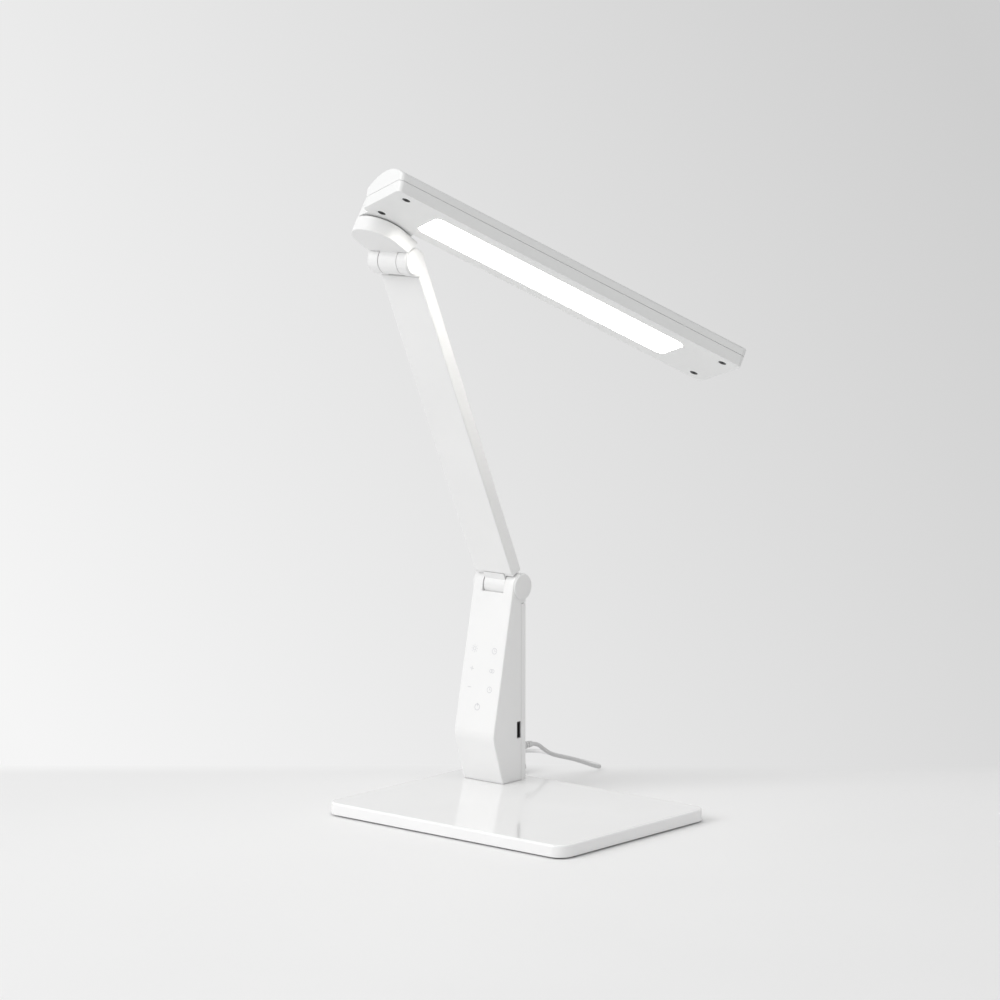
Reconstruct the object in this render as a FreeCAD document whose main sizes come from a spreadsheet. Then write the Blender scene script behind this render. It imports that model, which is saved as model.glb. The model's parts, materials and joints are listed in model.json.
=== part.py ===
"""Light therapy lamp: a flat weighted base, a post, a tilting arm and a slim swivelling light head.

Millimetres. Origin at the middle of the base's underside, X to the right, front at -Y, Z up.
The post stands left of the middle. Arm, knuckle and head are drawn upright in frames of their
own and are placed at the angles of the lamp's set-up position.
"""
import FreeCAD, Part
import Sketcher
import math
import os

doc = FreeCAD.newDocument("LightTherapyLamp")
Vector = FreeCAD.Vector

# ---------------------------------------------------------------- driving dimensions
SIZES = {
    # base
    "base_width": 230,
    "base_depth": 170,
    "base_corner": 11.5,
    "base_height": 10.2,
    "base_wall": 2.2,
    "base_round": 1.6,
    "mat_thickness": 1.3,
    "mat_inset": 4,
    "weight_thickness": 4,
    "base_screw_inset": 16,
    # post
    "post_from_side": 43.2,
    "post_width": 40,
    "post_wall": 2.2,
    "post_back": 73,
    "post_foot_front": 46,
    "post_bulge_front": 34.4,
    "post_bulge_height": 47,
    "post_bulge_round": 16,
    "bulge_wall_share": 1.2,
    "bulge_rise": 2,
    "bulge_fall": 5,
    "seam_from_back": 6,
    "seam_gap": 0.25,
    "ear_slot": 21.6,
    "frame_width": 33,
    "frame_sheet": 2.5,
    "frame_front": 57.6,
    "frame_top_gap": 4,
    "board_thickness": 1.6,
    "touch_board_length": 62,
    "touch_board_width": 32,
    "touch_board_height": 65,
    "control_board_width": 31,
    "control_board_length": 62,
    "control_board_height": 22,
    "usb_across": 64.4,
    "usb_height": 50,
    "usb_tall": 13,
    "usb_thick": 4.4,
    "usb_deep": 14,
    "usb_sheet": 0.35,
    "usb_play": 0.15,
    "usb_sunk": 0.3,
    "tongue_sunk": 1,
    "tongue_gap": 0.1,
    "tongue_tall": 11,
    "tongue_thick": 1.5,
    # hinges
    "lower_axis_back": 68.4,
    "lower_axis_height": 160.1,
    "lower_ear": 10.5,
    "lower_barrel": 10,
    "mouth_drop": 4.6,
    "shaft": 4,
    "run_gap": 0.06,
    "side_gap": 0.55,
    "cap_proud": 1.4,
    "cap_inset": 0.6,
    "washer": 7,
    "washer_thickness": 0.45,
    # arm
    "arm_width": 37.5,
    "arm_thickness": 11.2,
    "arm_start": 11.7,
    "arm_length": 281.4,
    "arm_front_sheet": 1.2,
    "arm_wall": 1.8,
    "arm_lean": 24.27,
    "knuckle": 10.2,
    "knuckle_drop": 11,
    "ear_blend": 12,
    "ear_blend_angle": 30,
    "loose_gap": 0.3,
    "knuckle_slot": 18.6,
    "bar_width": 24,
    "bar_thickness": 4,
    "wire": 2.2,
    # block
    "block_pitch": 31.4,
    "block_width": 40,
    "block_rear": 6,
    "block_neck": 12,
    "block_bottom": 1.65,
    "block_top": 13.1,
    "block_wall": 2,
    "lid_radius": 16,
    "lid_thickness": 2.3,
    "lid_drop": 0.2,
    "spindle_back": 25,
    "spindle": 6,
    "spindle_bore": 2.6,
    "bush": 10.2,
    "bush_roof_gap": 0.1,
    "collar_thickness": 2.2,
    "collar_inset": 1.2,
    "stem": 8.5,
    "stem_gap": 0.3,
    "stem_play": 0.1,
    "stem_flange_thickness": 1.6,
    # head
    "head_swivel": 28.6,
    "head_rise": 14.1,
    "head_length": 292.4,
    "head_width": 68,
    "head_near": 11.4,
    "head_corner": 4,
    "corner_share": 0.6,
    "end_draft": 0.18,
    "vault_margin": 5,
    "lug_radius": 19.5,
    "lug_side": 49.3,
    "lug_along": 12.4,
    "lug_overlap": 6,
    "lower_height": 8.2,
    "side_height": 13.9,
    "crown": 8,
    "head_wall": 2,
    "head_seam": 0.4,
    "lip_drop": 2,
    "lip_root": 1.5,
    "lip_gap": 0.15,
    "window_length": 211,
    "window_width": 41.5,
    "window_start": 39.2,
    "window_corner": 6,
    "panel_gap": 0.3,
    "panel_recess": 0.3,
    "panel_lap": 3,
    "panel_margin": 1,
    "flange_thickness": 1,
    "guide_thickness": 3,
    "reflector_thickness": 0.4,
    "sink_thickness": 1.5,
    "led_board_thickness": 1,
    "led_width": 2.8,
    "led_thickness": 0.8,
    "led_gap": 0.1,
    "led_inset": 0.3,
    "driver_length": 52,
    "driver_width": 30,
    "driver_start": 6,
    "head_screw_end": 11.5,
    "head_screw_side": 10.7,
    "flange_radius": 10,
    "boss_gap": 0.1,
    "boss_root": 2,
    "head_screw_short": 0.5,
    # fasteners
    "screw_head": 3,
    "screw_sink": 1.7,
    "screw_shank": 1.4,
    "boss": 3.6,
    "base_screw_length": 4.3,
    "base_bore_extra": 0.2,
    "base_boss_root": 0.5,
    # lead
    "cord": 1.6,
    "relief_length": 30,
    "relief_height": 30.5,
    "relief_root": 4.6,
    "relief_tip": 2.3,
    "relief_flange": 6.5,
    "relief_flange_thickness": 1.2,
    "floor_gap": 0.05,
    "coil_middle": 16.5,
    "coil_rows": 3,
    "coil_layers": 4,
    "coil_x": -122.5,
    "coil_y": 119,
    "adapter_x": -176,
    "adapter_y": 181.3,
    "adapter_turn": 40.6,
    "adapter_width": 42,
    "adapter_length": 62,
    "adapter_height": 28,
    "adapter_round": 5,
    "pin_radius": 2,
    "pin_length": 18,
    "pin_spacing": 19,
}

sheet = doc.addObject("Spreadsheet::Sheet", "Sizes")
for row, (alias, number) in enumerate(SIZES.items(), start=1):
    sheet.set("A%d" % row, alias.replace("_", " "))
    sheet.set("B%d" % row, str(number))
    sheet.setAlias("B%d" % row, alias)
doc.recompute()


class Size:
    """A number together with the spreadsheet expression that gives it."""

    def __init__(self, value, text):
        self.value = float(value)
        self.text = text

    def __add__(self, other):
        other = as_size(other)
        return Size(self.value + other.value, "(%s + %s)" % (self.text, other.text))

    def __sub__(self, other):
        other = as_size(other)
        return Size(self.value - other.value, "(%s - %s)" % (self.text, other.text))

    def __mul__(self, other):
        other = as_size(other)
        return Size(self.value * other.value, "(%s * %s)" % (self.text, other.text))

    def __truediv__(self, other):
        other = as_size(other)
        return Size(self.value / other.value, "(%s / %s)" % (self.text, other.text))

    def __radd__(self, other):
        return as_size(other) + self

    def __rsub__(self, other):
        return as_size(other) - self

    def __rmul__(self, other):
        return as_size(other) * self

    def __neg__(self):
        return 0 - self


def as_size(number):
    return number if isinstance(number, Size) else Size(number, repr(float(number)))


def sine(angle):
    return Size(math.sin(math.radians(angle.value)), "sin(%s)" % angle.text)


def cosine(angle):
    return Size(math.cos(math.radians(angle.value)), "cos(%s)" % angle.text)


def root(number):
    return Size(math.sqrt(number.value), "sqrt(%s)" % number.text)


def cell(alias):
    return Size(sheet.get(alias), "Sizes." + alias)


size = {alias: cell(alias) for alias in SIZES}


def bind(thing, prop, number):
    """Ties a property of a thing to the sheet."""
    thing.setExpression(prop, as_size(number).text)


# ---------------------------------------------------------------- frames
class Frame:
    """A place and a turn, as a FreeCAD expression that the sub-parts of one group share."""

    def __init__(self, text):
        self.text = text

    def moved(self, x, y, z, axis=(0, 0, 1), angle=0):
        spot = "vector(%s; %s; %s)" % tuple(as_size(v).text for v in (x, y, z))
        turn = "rotation(vector(%d; %d; %d); %s)" % (*axis, as_size(angle).text)
        step = "placement(%s; %s)" % (spot, turn)
        return Frame(step if self.text is None else "%s * %s" % (self.text, step))


def place(thing, frame):
    """Sets a thing in a frame, once its shape is made."""
    if frame.text is not None:
        thing.setExpression("Placement", frame.text)


GROUND = Frame(None)
# the post stands a set distance in from the base's left edge
post_x = size["post_from_side"] - size["base_width"] / 2
# the post's frame is upright and centred on the post, on the floor
POST = GROUND.moved(post_x, 0, 0)
# the arm's frame has its origin on the lower hinge, Z along the arm and Y to its back
ARM = POST.moved(0, size["lower_axis_back"], size["lower_axis_height"], (1, 0, 0), size["arm_lean"])
# the arm's back face is tangent to its upper ears
knuckle_y = size["arm_thickness"] / 2 - size["knuckle"]
knuckle_turn = -(size["arm_lean"] + size["block_pitch"])
# the block's frame has its origin on the upper hinge, Z towards the head
BLOCK = ARM.moved(0, knuckle_y, size["arm_length"], (1, 0, 0), knuckle_turn)
# the swivel's frame has its origin where the swivel axis meets the head's underside
SWIVEL = BLOCK.moved(0, -size["spindle_back"], size["head_rise"], (0, 0, 1), -size["head_swivel"])
# the head's frame is on the head's middle line, Y along the head; its lug reaches out to the swivel
HEAD = SWIVEL.moved(size["lug_side"], -size["lug_along"], 0)


# ---------------------------------------------------------------- modelling helpers
# cutting tools run this far past the solids that they cut
PAST = 1.0
# tolerances for picking edges and for noticing a cut that misses
TINY = 1e-6
CLOSE = 1e-4
NEARLY = 0.95
LEAST_CHANGE = 1e-3
# share of the shorter run that an arc of the lead takes up
ARC_SHARE = 0.45


def new_body(name):
    body = doc.addObject("PartDesign::Body", name)
    body.Label = name
    return body


def new_sketch(body, role, offset=None):
    """An empty sketch on one of a body's own origin planes, lifted by the offset."""
    sketch = body.newObject("Sketcher::SketchObject", body.Name + "_sketch")
    plane = [item for item in body.Origin.OriginFeatures if item.Role == role][0]
    sketch.AttachmentSupport = [(plane, "")]
    sketch.MapMode = "FlatFace"
    if offset is not None:
        bind(sketch, "AttachmentOffset.Base.z", offset)
    return sketch


def tie(sketch, kind, geometry, point, number):
    """Fixes one coordinate of a sketch point to the sheet."""
    number = as_size(number)
    index = sketch.addConstraint(Sketcher.Constraint(kind, -1, 1, geometry, point, number.value))
    bind(sketch, "Constraints[%d]" % index, number)


def draw_loop(sketch, corners):
    """A closed outline of straight runs through the corners."""
    corners = [(as_size(across), as_size(up)) for across, up in corners]
    first = sketch.GeometryCount
    count = len(corners)
    for index, start in enumerate(corners):
        end = corners[(index + 1) % count]
        line = Part.LineSegment(
            Vector(start[0].value, start[1].value, 0), Vector(end[0].value, end[1].value, 0)
        )
        sketch.addGeometry(line, False)
    for index in range(count):
        following = first + (index + 1) % count
        sketch.addConstraint(Sketcher.Constraint("Coincident", first + index, 2, following, 1))
    for index, (across, up) in enumerate(corners):
        tie(sketch, "DistanceX", first + index, 1, across)
        tie(sketch, "DistanceY", first + index, 1, up)


def draw_rectangle(sketch, left, right, low, high):
    draw_loop(sketch, [(left, low), (right, low), (right, high), (left, high)])


def draw_circle(sketch, across, up, radius):
    across, up, radius = as_size(across), as_size(up), as_size(radius)
    circle = Part.Circle(Vector(across.value, up.value, 0), Vector(0, 0, 1), radius.value)
    index = sketch.addGeometry(circle, False)
    tie(sketch, "DistanceX", index, 3, across)
    tie(sketch, "DistanceY", index, 3, up)
    constraint = sketch.addConstraint(Sketcher.Constraint("Radius", index, radius.value))
    bind(sketch, "Constraints[%d]" % constraint, radius)


def extrude(body, kind, sketch, length, midplane=False, backwards=False):
    """A pad or a pocket of a sketch. A cut that misses the solid is an error."""
    before = body.Tip.Shape.Volume if body.Tip is not None else 0
    feature = body.newObject("PartDesign::" + kind, body.Name + "_" + kind.lower())
    feature.Profile = sketch
    bind(feature, "Length", length)
    feature.Midplane = midplane
    feature.Reversed = backwards
    doc.recompute()
    changed = feature.Shape.Volume - before
    if abs(changed) < LEAST_CHANGE or (changed < 0) != (kind == "Pocket"):
        raise RuntimeError("%s of %s changes %.3f mm3" % (kind, body.Name, changed))
    return feature


def soften(body, kind, amount, chosen):
    """Rounds or chamfers the edges of a body's last feature that the test picks."""
    base = body.Tip
    names = ["Edge%d" % (i + 1) for i, edge in enumerate(base.Shape.Edges) if chosen(edge)]
    if not names:
        raise RuntimeError("no edge to soften on " + body.Name)
    feature = body.newObject("PartDesign::" + kind, body.Name + "_" + kind.lower())
    feature.Base = (base, names)
    bind(feature, "Radius" if kind == "Fillet" else "Size", amount)
    doc.recompute()
    return feature


def upright(edge):
    """True for a straight edge along Z, or nearly so."""
    ends = [vertex.Point for vertex in edge.Vertexes]
    if len(ends) != 2:
        return False
    run = ends[1] - ends[0]
    return run.Length > TINY and abs(run.z) > NEARLY * run.Length


def at_height(height):
    """A test for edges that lie at one height."""
    return lambda edge: max(abs(v.Point.z - height.value) for v in edge.Vertexes) < CLOSE


def box(name, left, right, front, back, low, high, frame=GROUND):
    """A plain block between six planes of a frame."""
    thing = doc.addObject("Part::Box", name)
    thing.Label = name
    bind(thing, "Length", as_size(right) - left)
    bind(thing, "Width", as_size(back) - front)
    bind(thing, "Height", as_size(high) - low)
    place(thing, frame.moved(left, front, low))
    return thing


def rod(name, radius, length, spot, axis, frame=GROUND):
    """A cylinder that starts at a spot and runs along +X, +Y or +Z of a frame."""
    turns = {"X": ((0, 1, 0), 90), "Y": ((1, 0, 0), -90), "Z": ((0, 0, 1), 0)}
    thing = doc.addObject("Part::Cylinder", name)
    thing.Label = name
    bind(thing, "Radius", radius)
    bind(thing, "Height", length)
    place(thing, frame.moved(*spot, *turns[axis]))
    return thing


def combine(kind, name, base, tools):
    """Base with the tools cut away or joined on."""
    if kind == "Cut":
        tool = tools[0]
        if len(tools) > 1:
            tool = doc.addObject("Part::MultiFuse", name + "_tools")
            tool.Shapes = tools
        thing = doc.addObject("Part::Cut", name)
        thing.Base = base
        thing.Tool = tool
    else:
        thing = doc.addObject("Part::MultiFuse", name)
        thing.Shapes = [base] + tools
    thing.Label = name
    return thing


def group(name, members):
    """Separate solids that share one node."""
    thing = doc.addObject("Part::Compound", name)
    thing.Label = name
    thing.Links = members
    return thing


def ring(name, outer, inner, length, spot, axis, frame):
    """A round tube along one axis of a frame."""
    outside = rod(name + "_outside", outer, length, spot, axis, frame)
    inside = rod(name + "_inside", inner, length, spot, axis, frame)
    return combine("Cut", name, outside, [inside])


def screw(name, spot, length, frame):
    """A countersunk screw whose head lies in the plane of the spot and whose shank points up."""
    head = doc.addObject("Part::Cone", name + "_head")
    bind(head, "Radius1", size["screw_head"])
    bind(head, "Radius2", size["screw_shank"])
    bind(head, "Height", size["screw_sink"])
    place(head, frame.moved(*spot))
    shank_spot = (spot[0], spot[1], spot[2] + size["screw_sink"])
    shank = rod(name + "_shank", size["screw_shank"], length, shank_spot, "Z", frame)
    return combine("Fuse", name, head, [shank])


def screw_hole(name, spot, length, frame):
    """The countersunk hole that a screw fills, a running gap wider than the screw."""
    clearance = size["run_gap"]
    head = doc.addObject("Part::Cone", name + "_sink")
    bind(head, "Radius1", size["screw_head"] + clearance)
    bind(head, "Radius2", size["screw_shank"] + clearance)
    bind(head, "Height", size["screw_sink"])
    place(head, frame.moved(*spot))
    shank_spot = (spot[0], spot[1], spot[2] + size["screw_sink"])
    shank = rod(name + "_bore", size["screw_shank"] + clearance, length, shank_spot, "Z", frame)
    return combine("Fuse", name, head, [shank])


def plate(name, left, right, front, back, low, thickness, corner, frame):
    """A flat plate with rounded corners."""
    body = new_body(name)
    sketch = new_sketch(body, "XY_Plane", low)
    draw_rectangle(sketch, left, right, front, back)
    extrude(body, "Pad", sketch, thickness)
    soften(body, "Fillet", corner, upright)
    place(body, frame)
    return body


parts = []

# ---------------------------------------------------------------- base
base_x = size["base_width"] / 2
base_y = size["base_depth"] / 2
cavity_roof = size["base_height"] - size["base_wall"]
screw_x = base_x - size["base_screw_inset"]
screw_y = base_y - size["base_screw_inset"]
BASE_SCREWS = [(sx * screw_x, sy * screw_y) for sx in (-1, 1) for sy in (-1, 1)]
# the post's foot is bolted through the weight and the cover
foot_y = (size["frame_front"] + size["frame_sheet"] + size["post_foot_front"] + size["post_wall"]) / 2
POST_SCREWS = [(post_x + side * size["frame_width"] / 3, foot_y) for side in (-1, 1)]
weight_low = size["mat_thickness"]
weight_edge = size["base_wall"] + size["panel_gap"]

cover = new_body("base_cover_shell")
sketch = new_sketch(cover, "XY_Plane", size["mat_thickness"])
draw_rectangle(sketch, -base_x, base_x, -base_y, base_y)
extrude(cover, "Pad", sketch, size["base_height"] - size["mat_thickness"])
soften(cover, "Fillet", size["base_corner"], upright)
soften(cover, "Fillet", size["base_round"], at_height(size["base_height"]))
hollow = plate(
    "base_hollow",
    -base_x + size["base_wall"],
    base_x - size["base_wall"],
    -base_y + size["base_wall"],
    base_y - size["base_wall"],
    0,
    cavity_roof,
    size["base_corner"] - size["base_wall"],
    GROUND,
)
open_cover = combine("Cut", "base_cover_open", cover, [hollow])
boss_low = weight_low + size["weight_thickness"]
boss_height = cavity_roof + size["base_boss_root"] - boss_low
bosses = [
    rod("base_boss_%d" % i, size["boss"], boss_height, (x, y, boss_low), "Z")
    for i, (x, y) in enumerate(BASE_SCREWS)
]
solid_cover = combine("Fuse", "base_cover_bossed", open_cover, bosses)
shank_top = size["mat_thickness"] + size["screw_sink"]
base_bore_length = size["base_screw_length"] + size["base_bore_extra"]
cover_bores = [
    screw_hole("base_bore_%d" % i, (x, y, weight_low), base_bore_length, GROUND)
    for i, (x, y) in enumerate(BASE_SCREWS)
]
post_screw_length = size["base_height"] - shank_top + size["frame_sheet"]
post_bores = [
    screw_hole("post_bore_%d" % i, (x, y, weight_low), post_screw_length, GROUND)
    for i, (x, y) in enumerate(POST_SCREWS)
]
parts.append(combine("Cut", "base_cover", solid_cover, cover_bores + post_bores))

weight_blank = plate(
    "base_weight_blank",
    -base_x + weight_edge,
    base_x - weight_edge,
    -base_y + weight_edge,
    base_y - weight_edge,
    weight_low,
    size["weight_thickness"],
    size["base_corner"] - weight_edge,
    GROUND,
)
parts.append(combine("Cut", "base_weight", weight_blank, cover_bores + post_bores))
parts.append(
    plate(
        "base_mat",
        -base_x + size["mat_inset"],
        base_x - size["mat_inset"],
        -base_y + size["mat_inset"],
        base_y - size["mat_inset"],
        0,
        size["mat_thickness"],
        size["base_corner"] - size["mat_inset"],
        GROUND,
    )
)
parts.append(
    group(
        "base_screws",
        [
            screw("base_screw_%d" % i, (x, y, weight_low), size["base_screw_length"], GROUND)
            for i, (x, y) in enumerate(BASE_SCREWS)
        ],
    )
)
parts.append(
    group(
        "post_screws",
        [
            screw("post_screw_%d" % i, (x, y, weight_low), post_screw_length, GROUND)
            for i, (x, y) in enumerate(POST_SCREWS)
        ],
    )
)

# ---------------------------------------------------------------- post shells
half_post = size["post_width"] / 2
axis_y = size["lower_axis_back"]
axis_z = size["lower_axis_height"]
seam_y = size["post_back"] - size["seam_from_back"]
# the front face runs up from the bulge and is tangent to the ears
run_y = axis_y - size["post_bulge_front"]
run_z = axis_z - size["post_bulge_height"]
run = root(run_y * run_y + run_z * run_z)
reach = root(run * run - size["lower_ear"] * size["lower_ear"])
touch_y = size["post_bulge_front"] + reach * (run_y * reach - run_z * size["lower_ear"]) / (run * run)
touch_z = size["post_bulge_height"] + reach * (run_z * reach + run_y * size["lower_ear"]) / (run * run)
front_lean_y = (touch_y - size["post_bulge_front"]) / reach
front_lean_z = (touch_z - size["post_bulge_height"]) / reach
# the slot is round under the arm's barrel and opens to the front above its mouth
slot_radius = size["lower_barrel"] + size["side_gap"]
slot_floor = axis_z - slot_radius
slot_mouth = axis_z - size["mouth_drop"]
ear_root = slot_floor - size["post_wall"]
back_touch = axis_z - root(
    size["lower_ear"] * size["lower_ear"]
    - (size["post_back"] - axis_y) * (size["post_back"] - axis_y)
)
bottom = size["base_height"]

front = new_body("post_front")
sketch = new_sketch(front, "YZ_Plane")
draw_loop(
    sketch,
    [
        (size["post_foot_front"], bottom),
        (seam_y, bottom),
        (seam_y, ear_root),
        (size["post_back"], ear_root),
        (size["post_back"], back_touch),
        (axis_y, axis_z),
        (touch_y, touch_z),
        (size["post_bulge_front"], size["post_bulge_height"]),
    ],
)
extrude(front, "Pad", sketch, size["post_width"], midplane=True)
soften(
    front,
    "Fillet",
    size["post_bulge_round"],
    lambda edge: all(
        abs(v.Point.y - size["post_bulge_front"].value) < CLOSE
        and abs(v.Point.z - size["post_bulge_height"].value) < CLOSE
        for v in edge.Vertexes
    ),
)
sketch = new_sketch(front, "YZ_Plane")
draw_circle(sketch, axis_y, axis_z, size["lower_ear"])
extrude(front, "Pad", sketch, size["post_width"], midplane=True)
# inside, the shell follows its front face one wall behind it
wall = size["post_wall"]
inner_top = slot_floor - wall
slope = front_lean_y / front_lean_z
inner_bulge_y = size["post_bulge_front"] + wall * size["bulge_wall_share"]
inner_top_y = inner_bulge_y + slope * (inner_top - size["post_bulge_height"])
sketch = new_sketch(front, "YZ_Plane")
draw_loop(
    sketch,
    [
        (size["post_foot_front"] + wall, bottom - PAST),
        (seam_y + PAST, bottom - PAST),
        (seam_y + PAST, inner_top),
        (inner_top_y, inner_top),
        (inner_bulge_y, size["post_bulge_height"] + size["bulge_rise"]),
        (inner_bulge_y, size["post_bulge_height"] - size["bulge_fall"]),
    ],
)
extrude(front, "Pocket", sketch, size["post_width"] - 2 * wall, midplane=True)
sketch = new_sketch(front, "YZ_Plane")
draw_circle(sketch, axis_y, axis_z, slot_radius)
extrude(front, "Pocket", sketch, size["ear_slot"], midplane=True)
sketch = new_sketch(front, "YZ_Plane")
slot_reach = 2 * size["lower_ear"]
draw_rectangle(sketch, axis_y - slot_reach, axis_y + slot_reach, slot_mouth, axis_z + slot_reach)
extrude(front, "Pocket", sketch, size["ear_slot"], midplane=True)
sketch = new_sketch(front, "YZ_Plane")
draw_circle(sketch, axis_y, axis_z, size["shaft"] + size["run_gap"])
extrude(front, "Pocket", sketch, size["post_width"] + 2 * PAST, midplane=True)
# the USB socket's mouth, in the right side
usb_y = size["usb_across"]
usb_z = size["usb_height"]
usb_room = size["usb_thick"] / 2 + size["usb_play"]
usb_rise = size["usb_tall"] / 2 + size["usb_play"]
sketch = new_sketch(front, "YZ_Plane", half_post - 2 * wall)
draw_rectangle(sketch, usb_y - usb_room, usb_y + usb_room, usb_z - usb_rise, usb_z + usb_rise)
extrude(front, "Pocket", sketch, 3 * wall, backwards=True)
place(front, POST)
parts.append(front)

relief_z = size["relief_height"]
rear = new_body("post_rear")
sketch = new_sketch(rear, "YZ_Plane")
draw_rectangle(
    sketch,
    seam_y + size["seam_gap"],
    size["post_back"],
    bottom,
    ear_root - size["seam_gap"],
)
extrude(rear, "Pad", sketch, size["post_width"], midplane=True)
sketch = new_sketch(rear, "YZ_Plane")
draw_rectangle(sketch, seam_y - PAST, size["post_back"] - wall, bottom + wall, ear_root - 2 * wall)
extrude(rear, "Pocket", sketch, size["post_width"] - 2 * wall, midplane=True)
sketch = new_sketch(rear, "XZ_Plane", -size["post_back"] - PAST)
draw_circle(sketch, 0, relief_z, size["relief_root"] + size["run_gap"])
extrude(rear, "Pocket", sketch, 3 * wall, backwards=True)
place(rear, POST)
parts.append(rear)

# ---------------------------------------------------------------- inside the post
frame_back = size["frame_front"] + size["frame_sheet"]
frame_top = inner_top - size["frame_top_gap"]
foot_front = size["post_foot_front"] + wall + size["panel_gap"]
steel = new_body("post_frame_blank")
sketch = new_sketch(steel, "YZ_Plane")
draw_loop(
    sketch,
    [
        (foot_front, bottom),
        (frame_back, bottom),
        (frame_back, frame_top),
        (size["frame_front"], frame_top),
        (size["frame_front"], bottom + size["frame_sheet"]),
        (foot_front, bottom + size["frame_sheet"]),
    ],
)
extrude(steel, "Pad", sketch, size["frame_width"], midplane=True)
place(steel, POST)
parts.append(combine("Cut", "post_frame", steel, post_bores))

# the touch board stands against the sloping front wall
touch_low = size["touch_board_height"]
touch_low_y = inner_bulge_y + slope * (touch_low - size["post_bulge_height"]) + size["panel_gap"]
slope_angle = Size(
    -math.degrees(math.atan2(front_lean_y.value, front_lean_z.value)),
    "(-atan(%s))" % slope.text,
)
TOUCH = POST.moved(0, touch_low_y, touch_low, (1, 0, 0), slope_angle)
parts.append(
    box(
        "touch_board",
        -size["touch_board_width"] / 2,
        size["touch_board_width"] / 2,
        0,
        size["board_thickness"],
        0,
        size["touch_board_length"],
        TOUCH,
    )
)
board_back = usb_y - size["usb_thick"] / 2
parts.append(
    box(
        "control_board",
        -size["control_board_width"] / 2,
        size["control_board_width"] / 2,
        board_back - size["board_thickness"],
        board_back,
        size["control_board_height"],
        size["control_board_height"] + size["control_board_length"],
        POST,
    )
)
usb_out = half_post - size["usb_sunk"]
usb_in = usb_out - size["usb_deep"]
usb_body = box(
    "usb_outside",
    usb_in,
    usb_out,
    board_back,
    usb_y + size["usb_thick"] / 2,
    usb_z - size["usb_tall"] / 2,
    usb_z + size["usb_tall"] / 2,
    POST,
)
usb_mouth = box(
    "usb_mouth",
    usb_in + size["usb_sheet"],
    usb_out + PAST,
    board_back + size["usb_sheet"],
    usb_y + size["usb_thick"] / 2 - size["usb_sheet"],
    usb_z - size["usb_tall"] / 2 + size["usb_sheet"],
    usb_z + size["usb_tall"] / 2 - size["usb_sheet"],
    POST,
)
parts.append(combine("Cut", "usb_shell", usb_body, [usb_mouth]))
tongue_front = board_back + size["usb_sheet"] + size["tongue_gap"]
parts.append(
    box(
        "usb_tongue",
        usb_in + size["usb_sheet"],
        usb_out - size["tongue_sunk"],
        tongue_front,
        tongue_front + size["tongue_thick"],
        usb_z - size["tongue_tall"] / 2,
        usb_z + size["tongue_tall"] / 2,
        POST,
    )
)


# ---------------------------------------------------------------- hinge hardware
def hinge_hardware(name, frame, y, z, width, slot, wear):
    """The shaft, its two caps and its two friction washers."""
    gap = size["run_gap"]
    half = width / 2
    shaft = rod(name + "_shaft", size["shaft"], width, (-half, y, z), "X", frame)
    left = rod(name + "_cap_left", wear, size["cap_proud"], (-half - size["cap_proud"], y, z), "X", frame)
    right = rod(name + "_cap_right", wear, size["cap_proud"], (half, y, z), "X", frame)
    washer_x = slot / 2 - size["washer_thickness"]
    inner = size["shaft"] + gap
    washers = [
        ring(
            "%s_washer_%s" % (name, tag),
            size["washer"],
            inner,
            size["washer_thickness"],
            (start, y, z),
            "X",
            frame,
        )
        for tag, start in (("left", -slot / 2), ("right", washer_x))
    ]
    return [shaft, left, right, group(name + "_washers", washers)]


lower_cap = size["lower_ear"] - size["cap_inset"]
parts += hinge_hardware("lower", POST, axis_y, axis_z, size["post_width"], size["ear_slot"], lower_cap)

# ---------------------------------------------------------------- arm
half_arm = size["arm_thickness"] / 2
front_seam = -half_arm + size["arm_front_sheet"]
arm_top = size["arm_length"] - size["knuckle_drop"]
lower_barrel_width = size["ear_slot"] - 2 * size["side_gap"]
upper_barrel_width = size["knuckle_slot"] - 2 * size["side_gap"]
knuckle_z = size["arm_length"]

shell = new_body("arm_rear")
sketch = new_sketch(shell, "YZ_Plane")
draw_rectangle(sketch, front_seam, half_arm, size["arm_start"], arm_top)
extrude(shell, "Pad", sketch, size["arm_width"], midplane=True)
sketch = new_sketch(shell, "YZ_Plane")
draw_loop(
    sketch,
    [
        (half_arm, arm_top - size["ear_blend"]),
        (half_arm, knuckle_z),
        (knuckle_y - size["knuckle"], knuckle_z),
        (
            knuckle_y - size["knuckle"] * cosine(size["ear_blend_angle"]),
            knuckle_z - size["knuckle"] * sine(size["ear_blend_angle"]),
        ),
        (-half_arm, knuckle_z - size["ear_blend"]),
        (front_seam, knuckle_z - size["ear_blend"]),
        (front_seam, arm_top - size["ear_blend"]),
    ],
)
extrude(shell, "Pad", sketch, size["arm_width"], midplane=True)
sketch = new_sketch(shell, "YZ_Plane")
draw_circle(sketch, knuckle_y, knuckle_z, size["knuckle"])
extrude(shell, "Pad", sketch, size["arm_width"], midplane=True)
sketch = new_sketch(shell, "YZ_Plane")
draw_rectangle(
    sketch,
    front_seam - PAST,
    half_arm - size["arm_wall"],
    size["arm_start"] + size["arm_wall"],
    arm_top - size["ear_blend"] - size["arm_wall"],
)
extrude(shell, "Pocket", sketch, size["arm_width"] - 2 * size["arm_wall"], midplane=True)
sketch = new_sketch(shell, "YZ_Plane")
draw_rectangle(
    sketch,
    knuckle_y - 2 * size["knuckle"],
    half_arm + PAST,
    arm_top,
    knuckle_z + 2 * size["knuckle"],
)
extrude(shell, "Pocket", sketch, size["knuckle_slot"], midplane=True)
sketch = new_sketch(shell, "YZ_Plane")
draw_rectangle(sketch, -half_arm, half_arm, 0, size["arm_start"] + size["arm_wall"])
extrude(shell, "Pad", sketch, lower_barrel_width, midplane=True)
sketch = new_sketch(shell, "YZ_Plane")
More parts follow.
